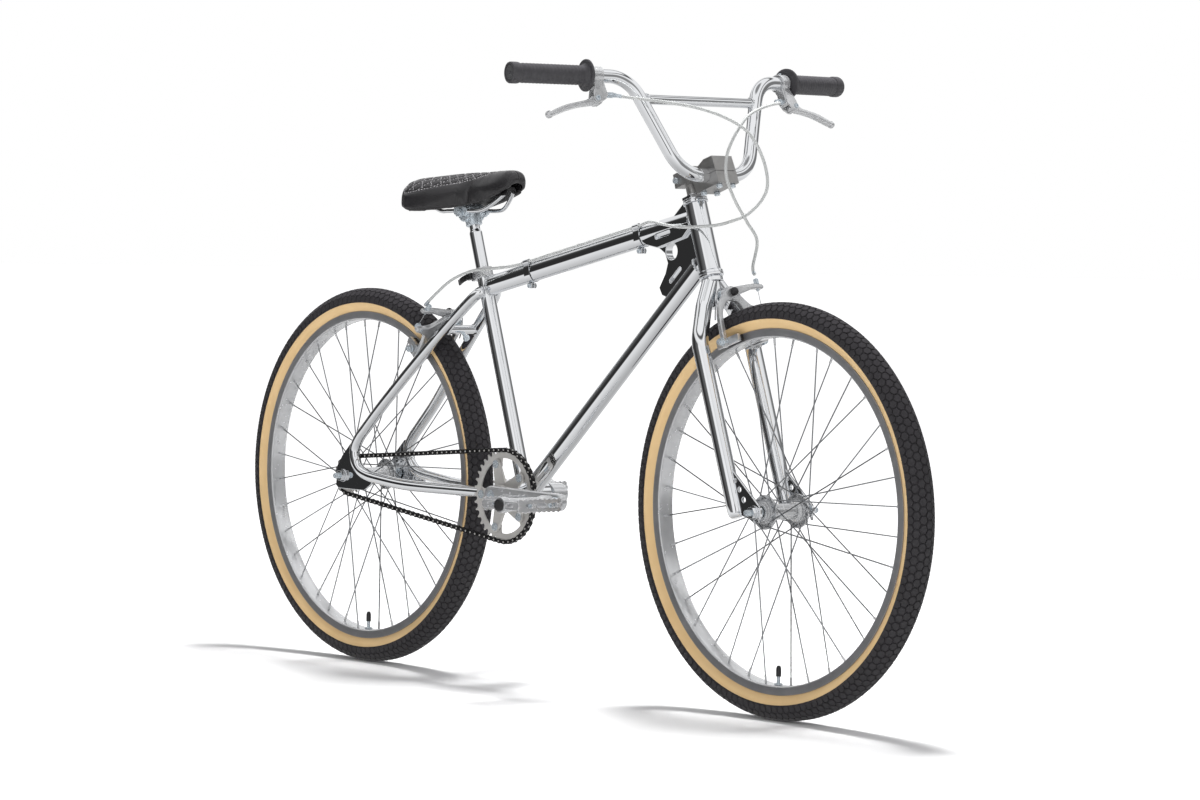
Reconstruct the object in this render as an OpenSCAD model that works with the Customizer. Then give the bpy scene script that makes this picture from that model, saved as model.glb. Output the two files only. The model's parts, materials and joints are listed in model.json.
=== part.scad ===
// Motocross-style bicycle with 26 inch wheels, side-pull brakes and a single-speed drive.
// Millimetres. +X forward, +Y to the rider's left, +Z up.
// Origin: on the ground, halfway between the axles, on the bicycle's centre plane.

/* [Wheels] */
// Distance between the two axles
wheelbase = 1054; // [1000:1:1100]
// Outer radius of the tyres, which is also the axle height
tyre_r = 327; // [320:0.5:335]
// Half the width of a tyre at its widest
tyre_w = 24.5; // [22:0.5:28]
// Radius of the rims' outer edge
rim_r = 286; // [284:0.5:288]
// Spokes in each wheel
spoke_count = 36; // [32:4:36]

/* [Frame] */
// Head tube angle from the ground
head_angle = 71; // [68:0.5:76]
// Height of the bottom bracket's centre
bb_z = 316; // [300:1:330]
// Rise of the seat tube for each mm it leans back
seat_slope = 3.04; // [2.7:0.01:3.6]
// Radius of the two loop tubes beside the rear wheel
loop_r = 9.5; // [8:0.5:11]

/* [Drive] */
// Teeth on the chainring
ring_teeth = 38; // [36:1:40]
// Teeth on the freewheel
cog_teeth = 16; // [14:1:18]
// Crank length
crank_len = 170; // [165:1:175]
// Distance of the chain from the centre plane
chain_y = 46; // [44:0.5:48]

/* [Controls] */
// Radius of the handlebar tube
bar_r = 11.1; // [11:0.1:12]
// Gap between a brake pad and the rim
pad_gap = 2.5; // [1.5:0.1:3]
// Half the handlebar's width
bar_half = 349; // [330:1:370]

/* [Hidden] */
pitch = 12.7;
tilt = 90 - head_angle;
hx = 335;
hz = 752;
fx = wheelbase / 2;
bbx = -fx + sqrt(429.5 * 429.5 - (tyre_r - bb_z) * (tyre_r - bb_z));
steel = [0.78, 0.79, 0.81];
alloy = [0.72, 0.73, 0.74];
black = [0.12, 0.12, 0.13];
pr = pitch / (2 * sin(180 / ring_teeth));
pc = pitch / (2 * sin(180 / cog_teeth));

function unit(v) = v / norm(v);
function S(a, y, c) = [hx + a * cos(tilt) - c * sin(tilt), y, hz + a * sin(tilt) + c * cos(tilt)];
function mir(pts) = [for (p = pts) [p[0], -p[1], p[2]]];
// arc that rounds the corner b of a-b-c with radius r, in n steps
function fillet(a, b, c, r, n) = let (u = unit(a - b), w = unit(c - b), g = acos(u * w),
    p = b + u * (r / tan(g / 2)), q = b + w * (r / tan(g / 2)), o = b + unit(u + w) * (r / sin(g / 2)), f = 180 - g)
    [for (i = [0:n]) (sin((1 - i / n) * f) * (p - o) + sin(i / n * f) * (q - o)) / sin(f) + o];
// smooth curve through points
function cr(a, b, c, d, t) = 0.5 * (2 * b + (c - a) * t + (2 * a - 5 * b + 4 * c - d) * t * t + (3 * b - a - 3 * c + d) * t * t * t);
function curve(p, n) = let (m = len(p)) concat([for (i = [0:m - 2]) for (k = [0:n - 1])
    cr(p[max(i - 1, 0)], p[i], p[i + 1], p[min(i + 2, m - 1)], k / n)], [p[m - 1]]);
function tang(p, i) = unit(p[min(i + 1, len(p) - 1)] - p[max(i - 1, 0)]);
// side vectors carried along the path so the tube doesn't twist
function carry(p, i, u) = let (t = tang(p, i), v = unit(u - (u * t) * t)) i == len(p) - 1 ? [v] : concat([v], carry(p, i + 1, v));
function ring(c, t, u, r, n) = let (w = cross(t, u)) [for (k = [0:n - 1]) c + r * (cos(360 * k / n) * u + sin(360 * k / n) * w)];
function seed(t) = abs(t[1]) < 0.7 ? [0, 1, 0] : [0, 0, 1];

// solid tube along a path
module sweep(p, r, n = 8) {
    m = len(p);
    us = carry(p, 0, seed(tang(p, 0)));
    pts = [for (i = [0:m - 1]) for (q = ring(p[i], tang(p, i), us[i], r, n)) q];
    polyhedron(points = pts, faces = concat([[for (k = [0:n - 1]) k]], [[for (k = [0:n - 1]) (m * n - 1) - k]],
        [for (i = [0:m - 2]) for (k = [0:n - 1]) [i * n + k, (i + 1) * n + k, (i + 1) * n + (k + 1) % n, i * n + (k + 1) % n]]), convexity = 6);
}
// hollow tube along a path, with open ends
module sweep_tube(p, r, ri, n = 12) {
    m = len(p);
    us = carry(p, 0, seed(tang(p, 0)));
    a = [for (i = [0:m - 1]) for (q = ring(p[i], tang(p, i), us[i], r, n)) q];
    b = [for (i = [0:m - 1]) for (q = ring(p[i], tang(p, i), us[i], ri, n)) q];
    o = m * n;
    e = (m - 1) * n;
    polyhedron(points = concat(a, b), faces = concat(
        [for (i = [0:m - 2]) for (k = [0:n - 1]) [i * n + k, (i + 1) * n + k, (i + 1) * n + (k + 1) % n, i * n + (k + 1) % n]],
        [for (i = [0:m - 2]) for (k = [0:n - 1]) [o + i * n + k, o + i * n + (k + 1) % n, o + (i + 1) * n + (k + 1) % n, o + (i + 1) * n + k]],
        [for (k = [0:n - 1]) [k, (k + 1) % n, o + (k + 1) % n, o + k]],
        [for (k = [0:n - 1]) [e + k, o + e + k, o + e + (k + 1) % n, e + (k + 1) % n]]), convexity = 8);
}
// closed body through cross-sections that all have the same number of points
module loft(secs) {
    m = len(secs);
    n = len(secs[0]);
    polyhedron(points = [for (s = secs) for (q = s) q], faces = concat([[for (k = [0:n - 1]) k]], [[for (k = [0:n - 1]) (m * n - 1) - k]],
        [for (i = [0:m - 2]) for (k = [0:n - 1]) [i * n + k, (i + 1) * n + k, (i + 1) * n + (k + 1) % n, i * n + (k + 1) % n]]), convexity = 6);
}
// place children with their Z axis running from p towards q
module aim(p, q) {
    d = q - p;
    translate(p) rotate([0, acos(d[2] / norm(d)), atan2(d[1], d[0])]) children();
}
module rod(p, q, r) { aim(p, q) cylinder(r = r, h = norm(q - p), $fn = 48); }
// cylinder along Y
module ycyl(r, y0, y1, x = 0, z = 0) { translate([x, y1, z]) rotate([90, 0, 0]) cylinder(r = r, h = y1 - y0, $fn = 64); }
// flat shape drawn in X and Z, filling y0 to y1
module xz(y0, y1) { translate([0, y1, 0]) rotate([90, 0, 0]) linear_extrude(height = y1 - y0) children(); }
module steer() { translate([hx, 0, hz]) rotate([0, -tilt, 0]) children(); }
module both() { children(); mirror([0, 1, 0]) children(); }
function arc(cx, cy, r, a0, a1, n) = [for (i = [0:n]) [cx + r * cos(a0 + (a1 - a0) * i / n), cy + r * sin(a0 + (a1 - a0) * i / n)]];
// tapered bar between two round ends
function blade(x0, y0, r0, x1, y1, r1) = let (a = atan2(y1 - y0, x1 - x0)) concat(arc(x0, y0, r0, a + 90, a + 270, 10), arc(x1, y1, r1, a - 90, a + 90, 10));
// flat-sided oval: height h along the first axis, width w along the second
function oval(h, w) = concat(arc(h / 2 - w / 2, 0, w / 2, -90, 90, 10), arc(w / 2 - h / 2, 0, w / 2, 90, 270, 10));

// ---------------------------------------------------------------- frame
module head_tube() {
    color(steel) steer() difference() {
        translate([0, 0, -57]) cylinder(r = 18, h = 113, $fn = 96);
        translate([0, 0, -58]) cylinder(r = 15.2, h = 115, $fn = 96);
    }
}
// oval tube between two points in the centre plane
module oval_tube(x0, z0, x1, z1, h, w, t) {
    l = norm([x1 - x0, z1 - z0]);
    translate([x0, 0, z0]) rotate([0, 90 - atan2(z1 - z0, x1 - x0), 0]) difference() {
        linear_extrude(height = l) polygon(oval(h, w));
        translate([0, 0, -1]) linear_extrude(height = l + 2) polygon(oval(h - 2 * t, w - 2 * t));
    }
}
module head_space() { steer() translate([0, 0, -90]) cylinder(r = 18.05, h = 180, $fn = 96); }
module seat_space() { aim([bbx, 0, bb_z], [bbx - 400 / seat_slope, 0, bb_z + 400]) cylinder(r = 12.75, h = 420, $fn = 96); }
module bb_space() { ycyl(25.05, -60, 60, bbx, bb_z); }
function tt_z(x) = 693.5 + 0.2234 * (x + 70);
module top_tube() {
    color(steel) difference() {
        oval_tube(-207, tt_z(-207), 331, tt_z(331), 34, 24, 1.6);
        head_space();
        seat_space();
    }
}
module down_tube() {
    color(steel) difference() {
        oval_tube(bbx, 313, 346, 721, 34, 24, 1.6);
        head_space();
        steer() translate([0, 0, -90]) cylinder(r = 21, h = 33.4, $fn = 96);
        bb_space();
        seat_space();
    }
}
module seat_tube() {
    color(steel) difference() {
        aim([bbx, 0, bb_z], [bbx - 400 / seat_slope, 0, bb_z + 400]) difference() {
            cylinder(r = 12.7, h = 392, $fn = 96);
            translate([0, 0, 26]) cylinder(r = 11.15, h = 400, $fn = 96);
        }
        bb_space();
    }
}
module bottom_bracket_shell() {
    color(steel) difference() {
        ycyl(25, -35, 35, bbx, bb_z);
        ycyl(20.5, -36, 36, bbx, bb_z);
    }
}
// boxed plate behind the head tube, with a round window, and the small wedge on top
module head_gussets() {
    color(steel) difference() {
        union() {
            difference() {
                xz(-7.5, 7.5) polygon([[197, 746], [209, 749], [212, 737], [238, 733], [252, 725], [259, 710], [254, 694], [239, 670], [246, 658], [270, 650], [360, 735], [330, 790]]);
                ycyl(13.8, -10, 10, 268, 729);
            }
            xz(-5, 5) polygon([[262, 779], [334, 795], [306, 816], [298, 813]]);
        }
        head_space();
        steer() translate([0, 0, 55.5]) cylinder(r = 21.2, h = 40, $fn = 96);
        hull_tube(-207, tt_z(-207), 331, tt_z(331));
        hull_tube(bbx, 313, 346, 721);
    }
}
module hull_tube(x0, z0, x1, z1) {
    translate([x0, 0, z0]) rotate([0, 90 - atan2(z1 - z0, x1 - x0), 0]) linear_extrude(height = norm([x1 - x0, z1 - z0])) polygon(oval(34.2, 24.2));
}
loop_pts = concat([[-204, -13, 655]], curve([[-222, -24, 639.6], [-319, -41, 552], [-408, -56, 465], [-462, -59, 414]], 3),
    curve([[-480, -60, 397], [-492, -60, 380], [-494.5, -60, 366], [-489, -60, 350], [-476, -60, 338], [-456, -59, 331]], 2),
    curve([[-430, -58.8, 327], [-369, -56.5, 321], [-320, -52, 319], [-250, -41.5, 318], [-195, -33.2, 317.5], [-160, -28.5, 317]], 2), [[bbx, -24, 316]]);
module loop_stays() {
    color(steel) difference() {
        union() {
            both() sweep_tube(loop_pts, loop_r, loop_r - 1.6, 12);
            ycyl(8, -28, 28, -279, 588);
            ycyl(6, -24.5, 24.5, -184, 317.4);
        }
        seat_space();
        bb_space();
        rear_cal() xc(-30, 30, 3.05);
    }
}
module rear_dropouts() {
    color(steel) both() difference() {
        dropout_plate();
        sweep(loop_pts, loop_r + 0.1, 12);
    }
}
module dropout_plate() {
    xz(-60, -55) difference() {
        polygon([[-486, 392], [-503.6, 387], [-530, 362], [-545, 342], [-547, 309], [-540, 304], [-466, 304], [-446, 316], [-446, 322], [-474, 329], [-486, 341], [-497, 352], [-503, 366], [-500, 378]]);
        translate([-527, tyre_r]) circle(r = 5.2, $fn = 48);
        translate([-560, tyre_r - 5.2]) square([33, 10.4]);
    }
}
module headset_cups() {
    color(steel) steer() {
        difference() {
            union() {
                translate([0, 0, -67]) cylinder(r = 20.5, h = 10, $fn = 96);
                translate([0, 0, -57.5]) cylinder(r = 15.1, h = 12, $fn = 96);
            }
            translate([0, 0, -70]) cylinder(r = 13.4, h = 40, $fn = 96);
        }
        difference() {
            union() {
                translate([0, 0, 56]) cylinder(r = 20.5, h = 4, $fn = 96);
                translate([0, 0, 44.5]) cylinder(r = 15.1, h = 12, $fn = 96);
            }
            translate([0, 0, 40]) cylinder(r = 13.4, h = 40, $fn = 96);
        }
    }
}
module bottom_bracket_cups() {
    color(alloy) both() difference() {
        union() {
            ycyl(20.4, -35, -20, bbx, bb_z);
            ycyl(22.5, -38, -35, bbx, bb_z);
        }
        ycyl(9.2, -40, -10, bbx, bb_z);
    }
}
function seat_at(z) = [bbx - (z - bb_z) / seat_slope, 0, z];
// frame at the foot of the seat collar, Z up the seat tube
module seat_frame() { translate(seat_at(677)) rotate([0, -atan(1 / seat_slope), 0]) children(); }
module seat_collar() {
    color(alloy) difference() {
        union() {
            seat_frame() cylinder(r = 16.5, h = 16, $fn = 96);
            seat_frame() translate([-24, -9, 1]) cube([13, 18, 14]);
        }
        seat_frame() translate([0, 0, -20]) cylinder(r = 12.75, h = 50, $fn = 96);
        seat_frame() translate([-40, -1.2, -5]) cube([40, 2.4, 30]);
        seat_frame() ycyl(2.7, -20, 20, -17.5, 8);
    }
    color(steel) seat_frame() {
        ycyl(2.5, -11.8, 12, -17.5, 8);
        ycyl(6, 9.2, 14, -17.5, 8);
    }
}
module rear_axle() {
    color(steel) {
        ycyl(5, -68.7, 68.7, -fx, tyre_r);
        both() ycyl(9, -54.9, -47, -fx, tyre_r);
        both() ycyl(4.75, -78.5, -68, -fx, tyre_r);
    }
}
module hex_nut(y0, y1, x, z, r, ri) {
    difference() {
        translate([x, y1, z]) rotate([90, 0, 0]) cylinder(r = r, h = y1 - y0, $fn = 6);
        ycyl(ri, y0 - 1, y1 + 1, x, z);
    }
}
module rear_axle_nuts() {
    color(steel) both() {
        hex_nut(-68.5, -61.6, -fx, tyre_r, 9.5, 5.05);
        difference() { ycyl(11, -61.5, -60.1, -fx, tyre_r); ycyl(5.05, -63, -58, -fx, tyre_r); }
    }
}
module rear_brake_bolt() { color(steel) rear_cal() cal_bolt(); }
module cable_clips() {
    color(alloy) for (x = [187, -90]) translate([x, 0, tt_z(x)]) rotate([0, 90 - 12.6, 0]) difference() {
        union() {
            translate([0, 0, -7]) linear_extrude(height = 14) polygon(oval(36, 26));
            translate([-17.2, -9, -7]) cylinder(r = 4.2, h = 14, $fn = 32);
        }
        translate([0, 0, -8]) linear_extrude(height = 16) polygon(oval(34.1, 24.1));
        translate([-17.2, -9, -8]) cylinder(r = 2.7, h = 16, $fn = 32);
    }
}
rear_cable_pts = [[332, -176, 968], [345, -150, 967], [368, -112, 963], [396, -66, 954], [424, -30, 938], [443, -2, 915], [451, 20, 876], [450, 31, 838],
    [440, 29, 813], [425, 13, 790], [405, -1, 779], [385, -15, 772], [352, -26, 769], [310, -27, 768], [262, -18.5, 771.5], [222, -12.5, tt_z(222) + 17.2],
    [187, -9, tt_z(187) + 17.6], [140, -9, tt_z(140) + 17.6], [50, -9, tt_z(50) + 17.6], [-40, -9, tt_z(-40) + 17.6], [-90, -9, tt_z(-90) + 17.6], [-130, -11, tt_z(-130) + 18.5],
    [-175, -21, 693], [-215, -32, 688], [-252, -44, 672], [-283, -54, 647], [-304, -58.5, 628.5]];
module rear_brake_cable() { color([0.72, 0.73, 0.73]) sweep(curve(rear_cable_pts, 3), 2.5, 8); }

// chain: position of pin number u around the loop, in X and Z
al = asin((pr - pc) / 429.5);
n1 = 429.5 * cos(al) / pitch;
m1 = (180 + 2 * al) / (360 / ring_teeth);
fall = asin((tyre_r - bb_z) / 429.5);
function loc(u) = u < n1 ? [-pc * sin(al) + pitch * u * cos(al), pc * cos(al) + pitch * u * sin(al)]
    : u < n1 + m1 ? [429.5 + pr * cos(90 + al - (u - n1) * 360 / ring_teeth), pr * sin(90 + al - (u - n1) * 360 / ring_teeth)]
    : u < 2 * n1 + m1 ? [429.5 - pr * sin(al) - pitch * (u - n1 - m1) * cos(al), -pr * cos(al) + pitch * (u - n1 - m1) * sin(al)]
    : [pc * cos(270 - al - (u - 2 * n1 - m1) * 360 / cog_teeth), pc * sin(270 - al - (u - 2 * n1 - m1) * 360 / cog_teeth)];
function pin(u) = let (q = loc(u)) [-fx + q[0] * cos(fall) + q[1] * sin(fall), tyre_r - q[0] * sin(fall) + q[1] * cos(fall)];
link_shape = concat(arc(0, 0, 4.05, 60, 300, 12), [[pitch / 2, -3]], arc(pitch, 0, 4.05, -120, 120, 12), [[pitch / 2, 3]]);
module link_at(i) {
    p = pin(i);
    q = pin((i + 1) % 95);
    translate([p[0], -chain_y, p[1]]) rotate([0, -atan2(q[1] - p[1], q[0] - p[0]), 0]) children();
}
module chain() {
    color(black) {
        for (i = [0:2:92]) link_at(i) difference() {
            union() {
                xz(1.75, 2.7) polygon(link_shape);
                xz(-2.7, -1.75) polygon(link_shape);
                ycyl(3.8, -2.2, 2.2);
                ycyl(3.8, -2.2, 2.2, pitch);
            }
            ycyl(1.9, -3, 3);
            ycyl(1.9, -3, 3, pitch);
        }
        for (i = [1:2:93]) link_at(i) {
            xz(2.8, 3.7) polygon(link_shape);
            xz(-3.7, -2.8) polygon(link_shape);
            ycyl(1.8, -4.3, 4.3);
            ycyl(1.8, -4.3, 4.3, pitch);
        }
        link_at(94) difference() {
            union() {
                both() translate([0, 0, -4.1]) linear_extrude(height = 8.2) polygon([[-4.05, 1.75], [4.3, 1.75], [8.4, 2.8], [16.7, 2.8], [16.7, 3.75], [8.2, 3.75], [4.1, 2.7], [-4.05, 2.7]]);
                ycyl(3.8, -2.2, 2.2);
                ycyl(1.8, -4.3, 4.3, pitch);
            }
            ycyl(1.9, -3, 3);
        }
    }
}

// ---------------------------------------------------------------- steering
leg_pts = concat([[0, -6, -78]], fillet([0, -6, -84], [1, -31, -116], [1, -47, -150], 40, 4), fillet([1, -31, -116], [1, -55.5, -172], [1, -55.5, -300], 60, 5), [[1, -55.5, -300], [1, -55.5, -461]]);
module fork() {
    color(steel) steer() {
        difference() {
            union() {
                translate([0, 0, -118]) cylinder(r = 12.7, h = 190, $fn = 96);
                translate([0, 0, -75]) cylinder(r = 18, h = 7, $fn = 96);
            }
            translate([0, 0, -76]) cylinder(r = 11.15, h = 170, $fn = 96);
            translate([0, 0, -104]) rotate([0, 90, 0]) cylinder(r = 3.2, h = 60, center = true, $fn = 32);
        }
        for (s = [-1, 1]) difference() {
            sweep_tube([for (p = leg_pts) [p[0], -s * p[1], p[2]]], 13.5, 11.5, 12);
            translate([0, 0, -119]) cylinder(r = 12.75, h = 60, $fn = 96);
        }
        for (s = [-1, 1]) translate([0, s * 55.5 + 2.5, 0]) rotate([90, 0, 0]) linear_extrude(height = 5) difference() {
            polygon(concat([[10, -386], [16, -392]], arc(43.2, -464.3, 15, 40, -60, 6), [[50, -482], [38, -482]], arc(43.2, -464.3, 15, -120, -150, 2), [[10, -456]]));
            translate([43.2, -464.3]) circle(r = 5.2, $fn = 48);
            translate([38, -490]) square([10.4, 25.7]);
            translate([22, -420]) circle(r = 4, $fn = 32);
            translate([26, -440]) circle(r = 4, $fn = 32);
        }
    }
}
module headset_locknut() {
    color(steel) steer() difference() {
        union() {
            translate([0, 0, 60.2]) cylinder(r = 20, h = 3.3, $fn = 96);
            translate([0, 0, 63.5]) cylinder(r = 20.5, h = 5.5, $fn = 6);
        }
        translate([0, 0, 50]) cylinder(r = 12.75, h = 30, $fn = 96);
    }
}
bar_x = 57;
module bar_space(r) { translate([bar_x, 40, 84]) rotate([90, 0, 0]) cylinder(r = r, h = 80, $fn = 96); }
bolt_at = [for (x = [36, 78 - 0]) for (y = [-14, 14]) [x, y]];
module stem_block() {
    color([0.6, 0.6, 0.61]) steer() {
        difference() {
            union() {
                translate([0, 21.5, 0]) rotate([90, 0, 0]) linear_extrude(height = 43)
                    polygon([[28, 63], [84, 63], [83, 83.6], [28, 83.6]]);
                translate([0, 21.5, 0]) rotate([90, 0, 0]) linear_extrude(height = 43)
                    polygon([[-17, 87], [-15.5, 110], [26, 111], [29, 84], [29, 70], [24, 87]]);
                translate([0, 0, 0]) cylinder(r = 11, h = 95, $fn = 96);
            }
            bar_space(bar_r + 0.05);
            for (q = [[38, -14], [38, 14], [76, -14], [76, 14]]) translate([q[0], q[1], 50]) cylinder(r = 3.1, h = 60, $fn = 32);
            translate([-30, -1, 70]) cube([32, 2, 50]);
            translate([-9.5, 30, 98]) rotate([90, 0, 0]) cylinder(r = 3.1, h = 60, $fn = 32);
            translate([0, 0, 5]) cylinder(r = 4, h = 120, $fn = 48);
        }
    }
}
module stem_cap() {
    color([0.6, 0.6, 0.61]) steer() difference() {
        translate([0, 21.5, 0]) rotate([90, 0, 0]) linear_extrude(height = 43) polygon([[30, 84.4], [83, 84.4], [80, 109.5], [60, 110], [30, 98]]);
        bar_space(bar_r + 0.05);
        for (q = [[38, -14], [38, 14], [76, -14], [76, 14]]) translate([q[0], q[1], 80]) cylinder(r = 3.1, h = 14, $fn = 32);
    }
}
module stem_bolts() {
    color(steel) steer() {
        for (q = [[38, -14], [38, 14], [76, -14], [76, 14]]) translate([q[0], q[1], 0]) {
            translate([0, 0, 57.8]) cylinder(r = 4.8, h = 5.1, $fn = 32);
            translate([0, 0, 62]) cylinder(r = 3, h = 31, $fn = 32);
        }
        translate([-9.5, 0, 98]) rotate([90, 0, 0]) { cylinder(r = 3, h = 44, center = true, $fn = 32); translate([0, 0, 21.6]) cylinder(r = 4.8, h = 5, $fn = 32); }
        difference() {
            translate([0, 0, 111.1]) cylinder(r = 7, h = 4, $fn = 6);
            translate([0, 0, 112.5]) cylinder(r = 3, h = 5, $fn = 6);
        }
        translate([0, 0, 20]) cylinder(r = 3.8, h = 91.5, $fn = 48);
    }
}
// right half of the bar's centreline, in the steering frame
b0 = [bar_x, 0, 84];
b1 = [bar_x, -70.5, 84];
b2 = [54.5, -138, 246];
b3 = [20.5, -bar_half, 258.4];
half_bar = concat(fillet(b0, b1, b2, 60, 6), fillet(b1, b2, b3, 56, 6), [b3]);
module handlebar() {
    color(steel) steer() {
        sweep_tube(concat([for (i = [len(half_bar) - 1:-1:0]) half_bar[i]], mir(half_bar)), bar_r, bar_r - 1.8, 16);
        difference() {
            translate([bar_x - 1.7, 118, 209.5]) rotate([90, 0, 0]) cylinder(r = 8, h = 236, $fn = 64);
            for (s = [-1, 1]) aim([55, s * 86.5, 121], [55, s * 124, 212.3]) translate([0, 0, 40]) cylinder(r = bar_r - 0.3, h = 80, $fn = 64);
        }
    }
}
// frame on the right-hand bar end: Z outward along the bar
gdir = unit(b3 - b2);
module bar_end(a) { steer() aim(b3 - gdir * a, b3 + gdir * 20) children(); }
module grips() {
    color(black) both() bar_end(139) difference() {
        union() {
            cylinder(r = 25.5, h = 4, $fn = 96);
            cylinder(r = 15.5, h = 142, $fn = 96);
            translate([0, 0, 128]) cylinder(r = 17, h = 12, $fn = 96);
        }
        translate([0, 0, -1]) cylinder(r = bar_r + 0.05, h = 140.2, $fn = 96);
    }
}
// lever frame on the right: X outward along the bar, Z from the bar towards the lever
lo = [296.15, -198, 1002.5];
l1 = unit([-0.169, -0.9856, 0.003]);
l0 = [0.4206, -0.0764, -0.904];
l3 = unit(l0 - (l0 * l1) * l1);
l2 = cross(l3, l1);
module lever_frame() {
    multmatrix([[l1[0], l2[0], l3[0], lo[0]], [l1[1], l2[1], l3[1], lo[1]], [l1[2], l2[2], l3[2], lo[2]], [0, 0, 0, 1]]) children();
}
module lever_plate(b0, b1, pts) { translate([0, b1, 0]) rotate([90, 0, 0]) linear_extrude(height = b1 - b0) polygon(pts); }
module lever_brackets() {
    color(alloy) both() lever_frame() difference() {
        union() {
            rotate([0, 90, 0]) translate([0, 0, -9]) cylinder(r = 15, h = 18, $fn = 96);
            lever_plate(-9, 9, [[-9, 8], [9, 8], [15, 36], [15, 47], [10, 50], [2, 50], [-12, 38]]);
            translate([-30, 0, 33]) rotate([0, 90, 0]) cylinder(r = 4.5, h = 22, $fn = 48);
        }
        rotate([0, 90, 0]) translate([0, 0, -12]) cylinder(r = bar_r + 0.05, h = 24, $fn = 96);
        translate([-8, -6.2, 25]) cube([40, 12.4, 40]);
        translate([9, 10, 43]) rotate([90, 0, 0]) cylinder(r = 2.6, h = 20, $fn = 32);
        translate([-31, 0, 33]) rotate([0, 90, 0]) cylinder(r = 2.6, h = 18, $fn = 32);
    }
    color(steel) both() lever_frame() translate([9, 9.6, 43]) rotate([90, 0, 0]) cylinder(r = 2.5, h = 19.2, $fn = 32);
}
module lever_solid() {
    lever_frame() {
        difference() {
            lever_plate(-6, 6, concat(arc(9, 43, 7, 200, 80, 6), [[26, 53], [60, 61], [96, 75]], arc(98, 70, 4, 80, -80, 4), [[62, 52], [28, 44.5], [18, 38]], arc(9, 43, 9, -40, -60, 2)));
            translate([9, 10, 43]) rotate([90, 0, 0]) cylinder(r = 2.6, h = 20, $fn = 32);
            translate([30, -4.5, 30]) rotate([0, -14, 0]) cube([70, 9, 22]);
        }
        translate([99, 0, 70.5]) sphere(r = 6.2, $fn = 48);
    }
}
module brake_lever_right() { color(alloy) lever_solid(); }
module brake_lever_left() { color(alloy) mirror([0, 1, 0]) lever_solid(); }
module front_axle() {
    color(steel) {
        ycyl(5, -66.2, 66.2, fx, tyre_r);
        both() ycyl(9, -52.9, -45, fx, tyre_r);
        both() ycyl(4.75, -76, -65.5, fx, tyre_r);
    }
}
module front_axle_nuts() {
    color(steel) both() {
        hex_nut(-66, -59.7, fx, tyre_r, 9.5, 5.05);
        difference() { ycyl(11, -59.6, -58.1, fx, tyre_r); ycyl(5.05, -61, -57, fx, tyre_r); }
    }
}
// brake caliper frame: X along the bolt away from the frame or fork, Z up, cable on the +Y side
module front_cal() { steer() translate([0, 0, -104]) children(); }
module rear_cal() { translate([-279, 0, 588]) rotate([0, 0, 180]) rotate([0, -42.1, 0]) children(); }
module xc(x0, x1, r, y = 0, z = 0) { translate([x0, y, z]) rotate([0, 90, 0]) cylinder(r = r, h = x1 - x0, $fn = 48); }
module cal_bolt() {
    xc(-20, 43, 3);
    translate([-24, 0, 0]) rotate([0, 90, 0]) cylinder(r = 6, h = 6, $fn = 6);
    xc(41.5, 49, 6.5);
    difference() { xc(14.6, 22.5, 10); xc(10, 22, 2.5); }
}
module cal_shape(x0, x1, pts) { translate([x0, 0, 0]) rotate([90, 0, 90]) linear_extrude(height = x1 - x0) polygon(pts); }
module cal_pad(s, lean) {
    translate([38, 0, -81]) rotate([0, lean, 0]) translate([-38, 0, 81]) cal_shoe(s);
}
module cal_shoe(s) {
    color(alloy) {
        translate([38, s * 41, -81]) rotate([s * 90, 0, 0]) cylinder(r = 3.5, h = 12, $fn = 32);
        translate([38, s * 44, -81]) rotate([s * 90, 0, 0]) cylinder(r = 6, h = 5, $fn = 6);
    }
    translate([14, s > 0 ? 15.5 + pad_gap : -25.5 - pad_gap, -86.5]) cube([48, 10, 11]);
    translate([12, s > 0 ? 23.5 + pad_gap : -30 - pad_gap, -87.5]) cube([52, 6.5, 13]);
}
// arm whose pad is on the -Y side; its top reaches over to the cable adjuster
module cal_arm_a(lean = 1) {
    difference() {
        cal_shape(31.5, 40, concat([[-33, -90], [-39.5, -90], [-40, -60], [-38, -36], [-30, -16], [-14, 2]], arc(0, 0, 11, 130, 60, 4), [[30, 13], [50, 15], [66, 14], [66, 6], [50, 6], [30, 1]],
            arc(0, 0, 11, -40, -110, 4), [[-18, -17], [-29, -34], [-31, -58]]));
        xc(20, 50, 3.05);
    }
    translate([35.8, 59, 4]) cylinder(r = 4, h = 20, $fn = 32);
    cal_pad(-1, lean);
}
// arm whose pad is on the +Y side, with the cable anchor
module cal_arm_b(lean = 1) {
    difference() {
        cal_shape(22.7, 31.2, concat([[33, -90], [39.5, -90], [40, -62], [46, -38], [66, -30], [66, -20], [44, -18], [24, 2]], arc(0, 0, 11, 50, 230, 6),
            [[14, -12], [27, -32], [31, -58]]));
        xc(20, 50, 3.05);
    }
    xc(22, 40, 4, 59, -25);
    translate([31, 0, -0.01]) cal_shape(0, 9, [[33, -90], [39.5, -90], [39.8, -70], [31.5, -70]]);
    cal_pad(1, lean);
}
module front_brake_bolt() { color(steel) front_cal() cal_bolt(); }
module front_brake_arm_right() { color(alloy) front_cal() cal_arm_a(); }
module front_brake_arm_left() { color(alloy) front_cal() cal_arm_b(); }
module rear_brake_arm_left() { color(alloy) rear_cal() cal_arm_a(6.5); }
module rear_brake_arm_right() { color(alloy) rear_cal() cal_arm_b(6.5); }
front_cable_pts = [[332, 176, 968], [348, 148, 968], [372, 112, 966], [398, 62, 958], [412, 24, 946], [418, 2, 930], [416, -14, 906], [412, -22, 880], [412, -22, 848], [419, -10, 812],
    [430, 8, 780], [440, 28, 745], [450, 48, 706], [S(36, 59, -74)[0], 59, S(36, 59, -74)[2]]];
module front_brake_cable() { color([0.72, 0.73, 0.73]) sweep(curve(front_cable_pts, 3), 2.5, 8); }

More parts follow.
